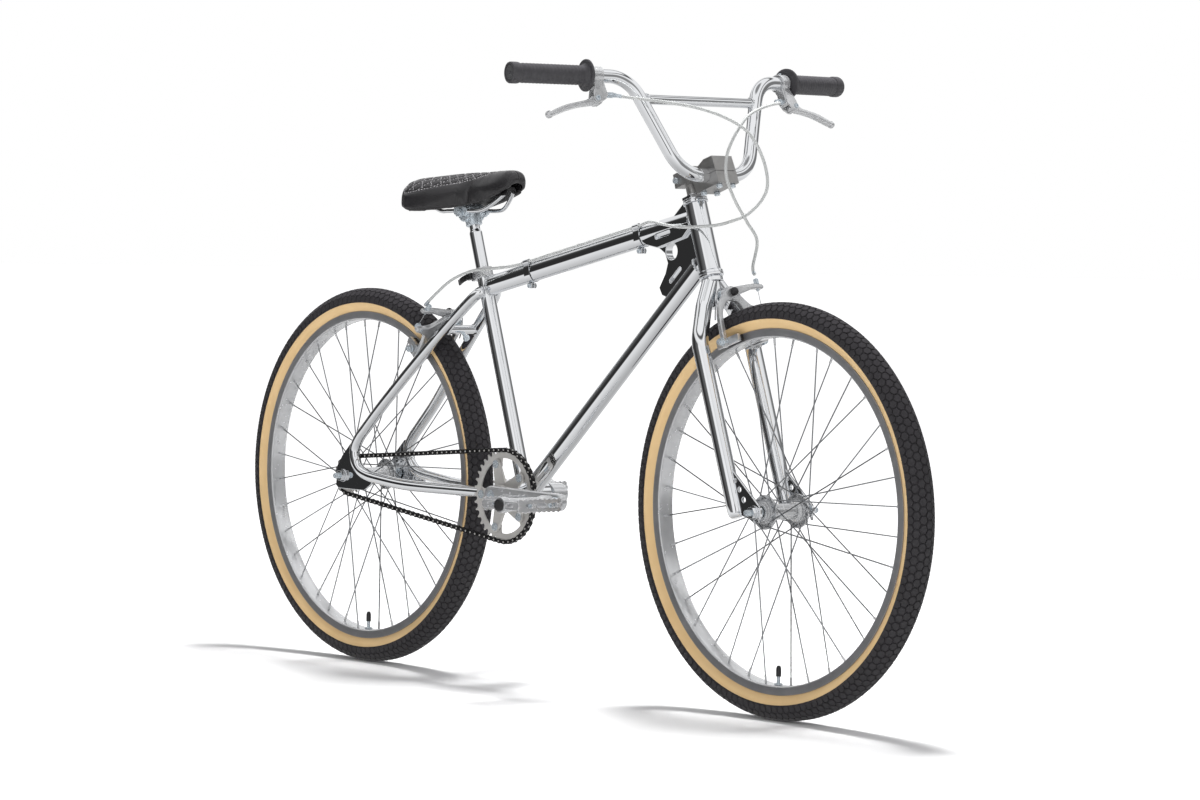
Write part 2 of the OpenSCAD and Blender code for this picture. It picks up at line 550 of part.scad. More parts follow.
// ---------------------------------------------------------------- wheels
function tyre_out(i) = let (a = -52 + i * 284 / 28) [304 + (tyre_r - 304) * sin(a), tyre_w * cos(a)];
module tyre_ring() {
    o = concat([[281, 13.2], [286.5, 13.2]], [for (i = [0:28]) let (q = tyre_out(i)) [max(q[0], 287), q[1]]], [[286.5, -13.2], [281, -13.2], [281, -9.5], [286, -9.5]],
        [for (i = [0:16]) let (a = 228 - i * 276 / 16) [303.5 + 19 * sin(a), 20.6 * cos(a)]], [[286, 9.5], [281, 9.5]]);
    rotate([90, 0, 0]) rotate_extrude($fn = 120) polygon(o);
}
module wheel_tube() {
    rotate([90, 0, 0]) rotate_extrude($fn = 120) difference() {
        polygon([for (i = [0:15]) [303.5 + 17.5 * cos(i * 22.5), 19 * sin(i * 22.5)]]);
        polygon([for (i = [0:15]) [303.5 + 16.3 * cos(i * 22.5), 17.8 * sin(i * 22.5)]]);
    }
    rod([0, 0, -285.5], [0, 0, -244], 3);
    rod([0, 0, -256], [0, 0, -241], 4.2);
}
module wheel_rim() {
    rotate([90, 0, 0]) difference() {
        rotate_extrude($fn = 120) polygon([[rim_r, 15.5], [rim_r, 13.4], [279.5, 13.4], [278.6, 9], [275, 7], [275, -7], [278.6, -9], [279.5, -13.4], [rim_r, -13.4], [rim_r, -15.5], [273, -15.5], [271.5, -12], [271.5, 12], [273, 15.5]]);
        rotate([90, 0, 0]) translate([0, 0, 260]) cylinder(r = 3.3, h = 30, $fn = 32);
    }
}
// spokes: side s, hole j; heads alternate outside and inside the flange
module one_spoke(s, j) {
    out = j % 2 == 0;
    h = 360 / (spoke_count / 2);
    a = h * j + (s > 0 ? 10 : 0) + 5;
    b = a + (out ? 60 : -60);
    y0 = s * (out ? 38.6 : 31.6);
    y1 = s * (out ? 4.6 : 1.2);
    p = [22 * cos(a), y0, 22 * sin(a)];
    q = [271.3 * cos(b), y1, 271.3 * sin(b)];
    rod(p, q, 1);
    rod(p, [p[0], s * (out ? 31.4 : 37.8), p[2]], 0.9);
    rod(q + unit(p - q) * 11, q, 2);
}
module wheel_spokes() { for (s = [-1, 1]) for (j = [0:spoke_count / 2 - 1]) one_spoke(s, j); }
module wheel_hub(side) {
    difference() {
        union() {
            ycyl(14, -44, 44);
            ycyl(27, -36.2, -32.8);
            ycyl(27, 32.8, 36.2);
            ycyl(17, -41, -28);
            ycyl(17, 28, 41);
        }
        ycyl(9.5, -60, 60);
        for (s = [-1, 1]) for (j = [0:spoke_count / 2 - 1]) rotate([0, -(20 * j + (s > 0 ? 10 : 0) + 5), 0]) ycyl(1.3, s > 0 ? 30 : -40, s > 0 ? 40 : -30, 22);
    }
}
module at_front() { translate([fx, 0, tyre_r]) children(); }
module at_rear() { translate([-fx, 0, tyre_r]) children(); }
module front_tyre() { color(black) at_front() tyre_ring(); }
module front_inner_tube() { color(black) at_front() wheel_tube(); }
module front_rim() { color(alloy) at_front() wheel_rim(); }
module front_spokes() { color(steel) at_front() wheel_spokes(); }
module front_hub() { color(alloy) at_front() wheel_hub(0); }
module rear_tyre() { color(black) at_rear() tyre_ring(); }
module rear_inner_tube() { color(black) at_rear() wheel_tube(); }
module rear_rim() { color(alloy) at_rear() wheel_rim(); }
module rear_spokes() { color(steel) at_rear() wheel_spokes(); }
module rear_hub() { color(alloy) at_rear() wheel_hub(1); }

// ---------------------------------------------------------------- drive
function gap(a, r) = [for (q = [[-3.4, -2.3], [-4.15, 0], [-3.4, 2.3], [-1.9, 3.6], [0, 4.3], [2.9, 5.4]]) [(r + q[0]) * cos(a) - q[1] * sin(a), (r + q[0]) * sin(a) + q[1] * cos(a)]];
function gap2(a, r) = [for (q = [[2.9, -5.4], [0, -4.3], [-1.9, -3.6]]) [(r + q[0]) * cos(a) - q[1] * sin(a), (r + q[0]) * sin(a) + q[1] * cos(a)]];
function sprocket(t, r, a0) = [for (i = [0:t - 1]) for (q = concat(gap2(a0 + i * 360 / t, r), gap(a0 + i * 360 / t, r))) q];
ring_phase = 90 + al + n1 * 360 / ring_teeth - fall;
cog_phase = 270 - al + (2 * n1 + m1) * 360 / cog_teeth - fall;
module chainring() {
    color([0.62, 0.63, 0.64]) translate([bbx, 0, bb_z]) xz(-chain_y - 1.4, -chain_y + 1.4) difference() {
        union() {
            difference() {
                polygon(sprocket(ring_teeth, pr, ring_phase));
                circle(r = 63, $fn = 96);
            }
            intersection() {
                circle(r = 71.5, $fn = 96);
                for (a = [36, 108, 180, 252, 324]) polygon(blade(55 * cos(a), 55 * sin(a), 9, 67 * cos(a), 67 * sin(a), 15));
            }
        }
        for (a = [36, 108, 180, 252, 324]) translate([55 * cos(a), 55 * sin(a)]) circle(r = 5, $fn = 48);
    }
}
module chainring_bolts() {
    color(steel) translate([bbx, 0, bb_z]) for (a = [36, 108, 180, 252, 324]) {
        ycyl(4.9, -52.2, -43.2, 55 * cos(a), 55 * sin(a));
        ycyl(7, -43.9, -42.9, 55 * cos(a), 55 * sin(a));
        ycyl(7, -54.4, -52.7, 55 * cos(a), 55 * sin(a));
        ycyl(4.9, -53, -52, 55 * cos(a), 55 * sin(a));
    }
}
module crank_arm_right() {
    color(alloy) translate([bbx, 0, bb_z]) difference() {
        union() {
            xz(-78, -64) polygon(blade(0, 0, 18, crank_len, 0, 14));
            ycyl(19, -66, -46);
            xz(-52.6, -47.5) for (a = [36, 108, 180, 252, 324]) polygon(blade(0, 0, 16, 55 * cos(a), 55 * sin(a), 8.5));
        }
        for (a = [36, 108, 180, 252, 324]) ycyl(5, -60, -40, 55 * cos(a), 55 * sin(a));
        ycyl(7.15, -90, -60, crank_len);
        ycyl(11, -90, -66);
        xz(-70, -40) square([12.8, 12.8], center = true);
    }
}
module crank_arm_left() {
    color(alloy) translate([bbx, 0, bb_z]) difference() {
        union() {
            xz(64, 78) polygon(blade(0, 0, 18, -crank_len, 0, 14));
            ycyl(19, 46, 66);
        }
        ycyl(7.15, 60, 90, -crank_len);
        ycyl(11, 66, 90);
        xz(40, 70) square([12.8, 12.8], center = true);
    }
}
module crank_spindle() {
    color(steel) translate([bbx, 0, bb_z]) {
        ycyl(8.9, -44, 44);
        xz(-65, 65) square([12.7, 12.7], center = true);
        both() ycyl(10.6, -72, -66.1);
        both() ycyl(4, -68, -60);
    }
}
module pedal_axles() {
    color(steel) for (s = [-1, 1]) translate([bbx - s * crank_len, 0, bb_z]) {
        if (s < 0) { ycyl(7.1, -84, -65); ycyl(9, -86, -78.2); ycyl(4.5, -190, -80); }
        else { ycyl(7.1, 65, 84); ycyl(9, 78.2, 86); ycyl(4.5, 80, 190); }
    }
}
module pedal_body() {
    difference() {
        union() {
            ycyl(13, -196, -92);
            for (s = [-1, 1]) translate([s * 43 - 2, -194, -11.5]) cube([4, 90, 23]);
            translate([-44, -108, -8]) cube([88, 5, 16]);
            translate([-44, -195, -8]) cube([88, 5, 16]);
        }
        ycyl(5, -192, -80);
    }
    ycyl(10, -201, -195.5);
}
module pedal_right() { color(alloy) translate([bbx + crank_len, 0, bb_z]) pedal_body(); }
module pedal_left() { color(alloy) translate([bbx - crank_len, 0, bb_z]) mirror([0, 1, 0]) pedal_body(); }
module freewheel() {
    color(steel) translate([-fx, 0, tyre_r]) difference() {
        union() {
            xz(-chain_y - 1.4, -chain_y + 1.4) polygon(sprocket(cog_teeth, pc, cog_phase));
            ycyl(25, -51, -41.2);
        }
        ycyl(17.2, -60, -41.05);
        ycyl(14.5, -60, -36);
    }
}

// ---------------------------------------------------------------- seat
module seat_post() {
    color(steel) difference() {
        union() {
            aim(seat_at(560), seat_at(776)) cylinder(r = 11.05, h = norm(seat_at(757) - seat_at(560)), $fn = 96);
            aim(seat_at(756), seat_at(776)) cylinder(r = 9, h = norm(seat_at(800) - seat_at(756)), $fn = 96);
        }
        aim(seat_at(540), seat_at(776)) cylinder(r = 7.4, h = norm(seat_at(790) - seat_at(540)), $fn = 96);
    }
}
module seat_qr_lever() {
    color(alloy) seat_frame() translate([-17.5, -17, 2]) {
        cylinder(r = 5, h = 12, $fn = 48);
        translate([0, 0, 0.5]) linear_extrude(height = 11) polygon([[0, -4.6], [0, -0.6], [-12, 0.6], [-24, 3], [-35, 7], [-36.5, 4.5], [-25, -1], [-12, -3.6]]);
    }
}
sp = seat_at(787);
module seat_clamp() {
    color([0.66, 0.67, 0.68]) difference() {
        union() {
            translate([sp[0] - 1, 0, 787]) rotate([90, 0, 0]) cylinder(r = 15.5, h = 34, center = true, $fn = 64);
            ycyl(13, -29, 29, sp[0] - 1, 787);
            aim(seat_at(766), seat_at(776)) cylinder(r = 14, h = 20, $fn = 64);
        }
        aim(seat_at(700), seat_at(776)) cylinder(r = 9.05, h = 150, $fn = 96);
        for (s = [-1, 1]) rod([-340, s * 22, 788.5], [-150, s * 22, 788.5 + 3], 3.7);
    }
}
module saddle_rails() {
    color(steel) for (s = [-1, 1]) sweep([[-352, s * 30, 815], [-340, s * 28, 806], [-322, s * 23.5, 794], [-306, s * 22, 789], [-290, s * 22, 789.3], [-250, s * 22, 790], [-210, s * 22, 790.5], [-192, s * 20.5, 794], [-172, s * 15, 806], [-152, s * 8, 822]], 3.5, 8);
}
function sw(t) = 22 + 51 * (1 / (1 + exp((t - 0.42) * 11))) + 3 * (1 - t);
// cross-section of the saddle at x: half width w, top zt, skirt bottom zb, hollow share h
function sect(x, w, zt, zb, h) = concat(
    [for (i = [0:16]) let (a = 180 * i / 16, c = cos(a), d = sin(a)) [x, -w * sign(c) * pow(abs(c), 0.42) , zb + (zt - zb) * pow(d, 0.55)]],
    [for (i = [16:-1:0]) let (a = 180 * i / 16, c = cos(a), d = sin(a)) [x, -w * h * sign(c) * pow(abs(c), 0.42), zb + (zt - 12 - zb) * h * pow(d, 0.55)]]);
saddle_x = [-376, -374, -369, -360, -345, -325, -300, -275, -250, -225, -200, -178, -158, -143, -133, -128, -126];
function s_t(x) = (x + 376) / 250;
function s_round(x) = min(1, pow(max(0.02, 1 - pow(max(0, (-340 - x) / 36.5), 2.6)), 0.5)) * min(1, pow(max(0.02, 1 - pow(max(0, (x + 146) / 20.5), 2.6)), 0.5));
function s_top(x) = 843 + 3 * sin(180 * s_t(x)) + 17 * pow(s_t(x), 2.2) - 26 * (1 - s_round(x));
function s_bot(x) = 784 + 10 * s_t(x) + 34 * pow(s_t(x), 3) + 20 * (1 - s_round(x));
module saddle_cover() {
    color(black) loft([for (i = [0:len(saddle_x) - 1]) let (x = saddle_x[i], e = min(i, len(saddle_x) - 1 - i)) sect(x, sw(s_t(x)) * (0.35 + 0.65 * s_round(x)), s_top(x), s_bot(x), e < 2 ? 0.05 : e == 2 ? 0.6 : 0.86)]);
}
module saddle_base() {
    color([0.2, 0.2, 0.21]) loft([for (x = [-350, -335, -315, -290, -260, -230, -200, -175, -155, -148]) let (w = sw(s_t(x)) * 0.86 * (x < -345 || x > -150 ? 0.7 : 1) - 3, z = s_top(x) - 27) [
        [x, -w, z - 14], [x, -w * 0.9, z - 4], [x, -w * 0.5, z], [x, w * 0.5, z], [x, w * 0.9, z - 4], [x, w, z - 14], [x, w * 0.88, z - 14], [x, w * 0.8, z - 8], [x, w * 0.45, z - 4], [x, -w * 0.45, z - 4], [x, -w * 0.8, z - 8], [x, -w * 0.88, z - 14]]]);
}

head_tube();
top_tube();
down_tube();
seat_tube();
bottom_bracket_shell();
head_gussets();
loop_stays();
rear_dropouts();
headset_cups();
bottom_bracket_cups();
seat_collar();
rear_axle();
rear_axle_nuts();
rear_brake_bolt();
cable_clips();
rear_brake_cable();
chain();
fork();
headset_locknut();
stem_block();
stem_cap();
stem_bolts();
handlebar();
grips();
lever_brackets();
front_axle();
front_axle_nuts();
front_brake_bolt();
front_brake_cable();
brake_lever_right();
brake_lever_left();
front_brake_arm_right();
front_brake_arm_left();
rear_brake_arm_right();
rear_brake_arm_left();
front_tyre();
front_inner_tube();
front_rim();
front_spokes();
front_hub();
rear_tyre();
rear_inner_tube();
rear_rim();
rear_spokes();
rear_hub();
chainring();
chainring_bolts();
crank_arm_right();
crank_arm_left();
crank_spindle();
pedal_axles();
pedal_right();
pedal_left();
freewheel();
seat_post();
seat_qr_lever();
seat_clamp();
saddle_rails();
saddle_cover();
saddle_base();
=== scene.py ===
"""Builds the visible pieces of a motocross-style bicycle with 26 inch wheels around its measured frame.

Sizes are in millimetres from the ground under the middle of the wheelbase, with +X forward and +Y to the rider's left.
"""

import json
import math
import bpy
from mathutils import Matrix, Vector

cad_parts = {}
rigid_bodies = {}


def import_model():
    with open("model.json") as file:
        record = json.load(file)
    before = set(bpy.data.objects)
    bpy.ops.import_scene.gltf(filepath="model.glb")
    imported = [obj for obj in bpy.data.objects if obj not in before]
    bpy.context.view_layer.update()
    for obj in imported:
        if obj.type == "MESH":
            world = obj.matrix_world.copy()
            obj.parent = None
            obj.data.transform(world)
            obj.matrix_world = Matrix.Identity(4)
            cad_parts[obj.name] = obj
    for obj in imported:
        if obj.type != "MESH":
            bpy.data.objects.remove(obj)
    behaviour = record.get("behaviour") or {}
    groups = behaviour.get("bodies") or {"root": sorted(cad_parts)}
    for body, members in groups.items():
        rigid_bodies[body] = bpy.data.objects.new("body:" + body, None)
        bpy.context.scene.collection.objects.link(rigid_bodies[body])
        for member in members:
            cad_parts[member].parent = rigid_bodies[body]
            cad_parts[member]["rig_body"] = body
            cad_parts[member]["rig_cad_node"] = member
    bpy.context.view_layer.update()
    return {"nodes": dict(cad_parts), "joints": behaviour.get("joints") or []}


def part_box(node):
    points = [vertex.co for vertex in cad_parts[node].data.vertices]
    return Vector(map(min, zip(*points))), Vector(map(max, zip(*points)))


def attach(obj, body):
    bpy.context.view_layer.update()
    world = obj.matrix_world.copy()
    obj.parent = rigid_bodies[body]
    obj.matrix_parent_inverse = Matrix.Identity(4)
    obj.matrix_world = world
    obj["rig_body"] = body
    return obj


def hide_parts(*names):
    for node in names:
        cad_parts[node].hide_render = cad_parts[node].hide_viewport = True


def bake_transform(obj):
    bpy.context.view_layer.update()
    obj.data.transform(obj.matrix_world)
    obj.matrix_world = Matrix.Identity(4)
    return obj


bl_info = {
    "name": "Motocross Bicycle",
    "version": (1, 0, 0),
    "blender": (4, 5, 0),
    "location": "View3D > Sidebar > Bicycle",
    "description": "Models a chromed bicycle with tan-wall tyres, side-pull brakes and a single-speed drive",
    "category": "Add Mesh",
}

import bpy
from mathutils import Matrix, Vector
from mathutils.bvhtree import BVHTree

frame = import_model()
NODES = frame["nodes"]
MM = 0.001
HEAD_LEAN = 19  # degrees the head tube leans back from upright


def middle(node):
    """The centre of a measured node's box, in metres."""
    low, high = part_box(node)
    return (low + high) / 2


# Places on the bicycle, each as a matrix from a part's own axes to the whole object's.
FRONT_AXLE = Matrix.Translation(middle("front_hub"))
REAR_AXLE = Matrix.Translation(middle("rear_hub"))
CRANK = Matrix.Translation(middle("crank_spindle"))
STEER_JOINT = next(j for j in frame["joints"] if j["name"] == "steer")
HEAD = Matrix.Translation(STEER_JOINT["pos_m"]) @ Matrix.Rotation(math.radians(-HEAD_LEAN), 4, "Y")
FRONT_BRAKE = HEAD @ Matrix.Translation((0, 0, -104 * MM))
REAR_BRAKE = Matrix.Translation((-279 * MM, 0, 588 * MM)) @ Matrix.Rotation(math.pi, 4,
    "Z") @ Matrix.Rotation(math.radians(-42.1), 4, "Y")
MIRROR = Matrix.Scale(-1, 4, (0, 1, 0))
UPRIGHT = Matrix.Rotation(math.pi / 2, 4, "X")  # a flat shape's XY becomes XZ
FACING = Matrix(((0, 0, 1, 0), (1, 0, 0, 0), (0, 1, 0, 0), (0, 0, 0, 1)))  # a flat shape's XY becomes YZ
BB_X, BB_Z = CRANK.translation.x / MM, CRANK.translation.z / MM
SEAT_SLOPE = 3.04  # rise of the seat tube for each mm it leans back


def seat_at(z):
    """The point on the seat tube's centreline at height z."""
    return Vector((BB_X - (z - BB_Z) / SEAT_SLOPE, 0, z))


SEAT = Matrix.Translation(seat_at(677) * MM) @ Matrix.Rotation(-math.atan(1 / SEAT_SLOPE), 4, "Y")


def lever_axes():
    """The right brake lever's axes: X outward along the bar, Z from the bar towards the lever."""
    out = Vector((-0.169, -0.9856, 0.003)).normalized()
    across = Vector((0.4206, -0.0764, -0.904)).cross(out).normalized()
    down = out.cross(across)
    axes = Matrix((out, across, down)).transposed().to_4x4()
    return Matrix.Translation(Vector((296.15, -198, 1002.5)) * MM) @ axes


LEVER = lever_axes()


# ---------------------------------------------------------------- drawing and shaping
def deselect():
    if bpy.context.object and bpy.context.object.mode != "OBJECT":
        bpy.ops.object.mode_set(mode="OBJECT")
    bpy.ops.object.select_all(action="DESELECT")


def pick(*objects):
    """Selects these objects only; the last is active."""
    deselect()
    for obj in objects:
        obj.select_set(True)
    bpy.context.view_layer.objects.active = objects[-1]
    return objects[-1]


def edit(obj, *steps):
    """Runs each step in edit mode with the whole mesh selected."""
    pick(obj)
    bpy.ops.object.mode_set(mode="EDIT")
    for step in steps:
        bpy.ops.mesh.select_all(action="SELECT")
        step()
    bpy.ops.object.mode_set(mode="OBJECT")
    return obj


def on_faces(obj, chosen, step):
    """Runs step in edit mode on the chosen faces."""
    edit(obj, lambda: bpy.ops.mesh.select_all(action="DESELECT"))
    bpy.context.tool_settings.mesh_select_mode = (False, False, True)
    for face in obj.data.polygons:
        face.select = chosen(face)
    bpy.ops.object.mode_set(mode="EDIT")
    step()
    bpy.ops.object.mode_set(mode="OBJECT")
    bpy.context.tool_settings.mesh_select_mode = (True, False, False)
    return obj


def tidy(obj):
    """Merges doubled points and turns every face outwards."""
    return edit(obj, lambda: bpy.ops.mesh.remove_doubles(threshold=5e-6),
        lambda: bpy.ops.mesh.normals_make_consistent(inside=False))


def modify(obj, kind, **settings):
    """Adds one modifier and applies it."""
    pick(obj)
    modifier = obj.modifiers.new(kind.title(), kind)
    for name, value in settings.items():
        setattr(modifier, name, value)
    bpy.ops.object.modifier_apply(modifier=modifier.name)
    return obj


def ease(obj, width, segments=2, angle=40):
    """Rounds the edges sharper than angle by width."""
    return modify(obj, "BEVEL", width=width * MM, segments=segments, limit_method="ANGLE",
        angle_limit=math.radians(angle))


def place(obj, matrix):
    """Moves a piece by matrix, into its mesh."""
    pick(obj)
    obj.matrix_world = matrix @ obj.matrix_world
    bpy.ops.object.transform_apply(location=True, rotation=True, scale=True)
    return tidy(obj) if matrix.determinant() < 0 else obj


def copied(obj, matrix=None):
    pick(obj)
    bpy.ops.object.duplicate(linked=False)
    twin = bpy.context.object
    return twin if matrix is None else place(twin, matrix)


def join(*objects):
    pick(*objects)
    if len(objects) > 1:
        bpy.ops.object.join()
    return bpy.context.object


def draw(lines, closed=False, flat=False, radii=None):
    """A curve with one straight-segment line for each list of points."""
    deselect()
    bpy.ops.curve.primitive_nurbs_path_add(location=(0, 0, 0))
    obj = bpy.context.object
    curve = obj.data
    curve.dimensions = "2D" if flat else "3D"
    curve.splines.clear()
    for line in lines:
        spline = curve.splines.new("POLY")
        spline.points.add(len(line) - 1)
        for i, point in enumerate(line):
            spline.points[i].co = (point[0] * MM, point[1] * MM, 0 if flat else point[2] * MM, 1)
            if radii:
                spline.points[i].radius = radii[i]
        spline.use_cyclic_u = closed
    return obj


def to_mesh(obj):
    pick(obj)
    bpy.ops.object.convert(target="MESH")
    return bpy.context.object


def tube(lines, radius, roundness=4, radii=None, closed=False):
    """Round bars along lines of points, closed at their ends."""
    obj = draw(lines, closed, radii=radii)
    obj.data.bevel_depth = radius * MM
    obj.data.bevel_resolution = roundness
    obj.data.use_fill_caps = not closed
    return to_mesh(obj)


def plate(outline, thick, edge=0.8, holes=(), segments=2):
    """A sheet in XY with rounded edges, its thickness centred on Z."""
    obj = draw([outline, *holes], closed=True, flat=True)
    obj.data.fill_mode = "BOTH"
    obj.data.extrude = (thick / 2 - edge) * MM
    obj.data.bevel_depth = edge * MM
    obj.data.bevel_resolution = segments
    obj.data.offset = -edge * MM
    return tidy(to_mesh(obj))


def lathe(profile, steps=64, closed=False):
    """A turned shape about Z from (radius, height) pairs."""
    obj = to_mesh(draw([[(r, 0, h) for r, h in profile]], closed))
    edit(obj, lambda: bpy.ops.mesh.spin(steps=steps, angle=math.tau, center=(0, 0, 0), axis=(0, 0, 1)))
    return tidy(obj)


def along(p, q):
    """The matrix that stands a turned shape at p with its axis towards q."""
    way = Vector(q) - Vector(p)
    return Matrix.Translation(Vector(p) * MM) @ way.to_track_quat("Z", "Y").to_matrix().to_4x4()


def bar(p, q, radius, edge=0.5, steps=32):
    """A turned bar from p to q with eased ends."""
    h = (Vector(q) - Vector(p)).length
    return place(lathe([(0, 0), (radius - edge, 0), (radius, edge), (radius, h - edge), (radius - edge, h), (0, h)],
        steps), along(p, q))


def block(low, high, edge=1.0, segments=2):
    """A box between two corners with rounded edges."""
    deselect()
    size = Vector(high) - Vector(low)
    bpy.ops.mesh.primitive_cube_add(size=1, location=(Vector(low) + Vector(high)) * MM / 2, scale=size * MM)
    obj = bpy.context.object
    bpy.ops.object.transform_apply(location=True, rotation=True, scale=True)
    return ease(obj, edge, segments)


def ball(at, radius):
    deselect()
    bpy.ops.mesh.primitive_uv_sphere_add(segments=24, ring_count=12, radius=radius * MM, location=Vector(at) * MM)
    bpy.ops.object.transform_apply(location=True, rotation=True, scale=True)
    return bpy.context.object


def hexagon(radius, turn=0.0):
    return [(radius * math.cos(math.radians(60 * i + turn)),
        radius * math.sin(math.radians(60 * i + turn))) for i in range(6)]


def circle(x, y, radius, count=24):
    return [(x + radius * math.cos(math.tau * i / count),
        y + radius * math.sin(math.tau * i / count)) for i in range(count)]


def arc(x, y, radius, start, end, count):
    turns = [math.radians(start + (end - start) * i / count) for i in range(count + 1)]
    return [(x + radius * math.cos(a), y + radius * math.sin(a)) for a in turns]


def blade(x0, y0, r0, x1, y1, r1, count=14):
    """A tapered bar's outline between two round ends."""
    a = math.degrees(math.atan2(y1 - y0, x1 - x0))
    return arc(x0, y0, r0, a + 90, a + 270, count) + arc(x1, y1, r1, a - 90, a + 90, count)


def bolt(at, way, radius=4.0, height=3.0, socket=True):
    """A screw head on a surface: a turned head with a hexagon socket, or a six-sided head."""
    if socket:
        head = lathe([(0, height - 1.6), (radius * 0.45, height - 1.6), (radius * 0.5, height), (radius - 0.6, height),
            (radius, height - 0.6), (radius, -0.2), (0, -0.2)], 18)
    else:
        head = place(plate(hexagon(radius), height, 0.4, segments=1), Matrix.Translation((0, 0, height / 2 * MM)))
    return place(head, along(at, Vector(at) + Vector(way)))


def smooth(points, steps=6):
    """A smooth line through points."""
    pts = [Vector(p) for p in points]
    line = []
    for i in range(len(pts) - 1):
        a, b, c, d = pts[max(i - 1, 0)], pts[i], pts[i + 1], pts[min(i + 2, len(pts) - 1)]
        for k in range(steps):
            t = k / steps
            line.append(0.5 * (2 * b + (c - a) * t + (2 * a - 5 * b + 4 * c - d) * t * t
                + (3 * b - a - 3 * c + d) * t ** 3))
    return line + [pts[-1]]


def rounded(points, radii, steps=10):
    """A line through points with each inner corner turned at its own radius."""
    pts = [Vector(p) for p in points]
    line = [pts[0]]
    for i in range(1, len(pts) - 1):
        u, w = (pts[i - 1] - pts[i]).normalized(), (pts[i + 1] - pts[i]).normalized()
        half = u.angle(w) / 2
        p, q = pts[i] + u * (radii[i - 1] / math.tan(half)), pts[i] + w * (radii[i - 1] / math.tan(half))
        o = pts[i] + (u + w).normalized() * (radii[i - 1] / math.sin(half))
        line += [o + (p - o).normalized().slerp((q - o).normalized(),
            k / steps) * radii[i - 1] for k in range(steps + 1)]
    return line + [pts[-1]]


def mirrored(points):
    return [(p[0], -p[1], p[2]) for p in points]


def remade(node, edge=0.0, angle=40):
    """A welded copy of a measured node, with its edges eased."""
    pick(NODES[node])
    bpy.ops.object.duplicate(linked=False)
    obj = bpy.context.object
    bpy.ops.object.parent_clear(type="CLEAR_KEEP_TRANSFORM")
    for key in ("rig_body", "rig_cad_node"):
        del obj[key]
    obj.data.materials.clear()
    edit(obj, lambda: bpy.ops.mesh.remove_doubles(threshold=5e-6),
        lambda: bpy.ops.mesh.dissolve_limited(angle_limit=math.radians(1)))
    return ease(obj, edge, 2, angle) if edge else obj


def coat(obj, finish):
    """Gives the whole piece one finish."""
    obj.data.materials.clear()
    obj.data.materials.append(finish)
    return obj


def coat_where(obj, finish, chosen):
    """Gives the faces whose centre, in mm, is chosen another finish."""
    obj.data.materials.append(finish)
    for face in obj.data.polygons:
        if chosen(face.center / MM):
            face.material_index = len(obj.data.materials) - 1
    return obj


def fit(obj, name, body, slot, *nodes, angle=35):
    """Names a finished piece, smooths it, and rides it on its body in place of the nodes it stands for."""
    obj.name = obj.data.name = name
    pick(obj)
    bpy.ops.object.shade_smooth_by_angle(angle=math.radians(angle))
    modify(obj, "WEIGHTED_NORMAL", keep_sharp=True)
    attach(obj, body)
    if nodes:
        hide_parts(*nodes)
    return obj


# ---------------------------------------------------------------- finishes
def linear(colour):
    """An sRGB hex colour as the linear one that nodes take."""
    parts = [int(colour[i : i + 2], 16) / 255 for i in (0, 2, 4)]
    return (*(c / 12.92 if c <= 0.04045 else ((c + 0.055) / 1.055) ** 2.4 for c in parts), 1)


def add(tree, kind, inputs=(), **settings):
    """Adds a node with its settings, values and links."""
    made = tree.nodes.new(kind)
    for name, value in settings.items():
        setattr(made, name, value)
    for name, value in dict(inputs).items():
        if isinstance(value, bpy.types.NodeSocket):
            tree.links.new(value, made.inputs[name])
        else:
            made.inputs[name].default_value = value
    return made


def noise(tree, where, size, detail=3.0, stretch=(1, 1, 1)):
    """Noise whose features are about size mm across, longer along an axis whose stretch is below 1."""
    mapped = add(tree, "ShaderNodeMapping", {"Vector": where, "Scale": tuple(s / (size * MM) for s in stretch)})
    return add(tree, "ShaderNodeTexNoise", {"Vector": mapped.outputs[0], "Scale": 1.0, "Detail": detail}).outputs[0]


def finish(name, light, dark, rough, metallic=0.0, mottle=40.0, grain=1.0, depth=0.02, spread=0.08, stretch=(1, 1, 1),
    wave=None, **sockets):
    """A procedural finish: two close colours mottled together, uneven gloss, and a fine raised grain.

    mottle and grain are the patterns' sizes in mm, depth is the grain's height in mm.
    """
    material = bpy.data.materials.new(name)
    material.use_nodes = True
    tree = material.node_tree
    shader = tree.nodes["Principled BSDF"]
    where = add(tree, "ShaderNodeTexCoord").outputs["Object"]
    patch = noise(tree, where, mottle)
    colour = add(tree, "ShaderNodeMix", {"Factor": patch}, data_type="RGBA")
    for key, shade in ((6, light), (7, dark)):  # the Mix node's two colour sockets
        colour.inputs[key].default_value = linear(shade)
    tree.links.new(colour.outputs[2], shader.inputs["Base Color"])
    fine = noise(tree, where, grain, 2.0, stretch)
    gloss = add(tree, "ShaderNodeMapRange", {"Value": noise(tree, where, mottle / 3, 4.0, stretch), "From Min": 0.3,
        "From Max": 0.7, "To Min": rough - spread / 2, "To Max": rough + spread / 2})
    tree.links.new(gloss.outputs[0], shader.inputs["Roughness"])
    height = fine
    if wave:
        height = add(tree, "ShaderNodeMath", {0: fine, 1: wave(tree, where)}, operation="ADD").outputs[0]
    bump = add(tree, "ShaderNodeBump", {"Height": height, "Strength": 1.0, "Distance": depth * MM})
    tree.links.new(bump.outputs[0], shader.inputs["Normal"])
    shader.inputs["Metallic"].default_value = metallic
    for key, value in sockets.items():
        shader.inputs[key.replace("_", " ")].default_value = value
    return material


def cells(size):
    """A pebbled height: rounded cells about size mm across."""
    def made(tree, where):
        scaled = add(tree, "ShaderNodeVectorMath", {0: where, 1: (1 / (size * MM),) * 3}, operation="MULTIPLY")
        return add(tree, "ShaderNodeTexVoronoi", {"Vector": scaled.outputs[0], "Scale": 1.0},
            feature="SMOOTH_F1").outputs[0]
    return made


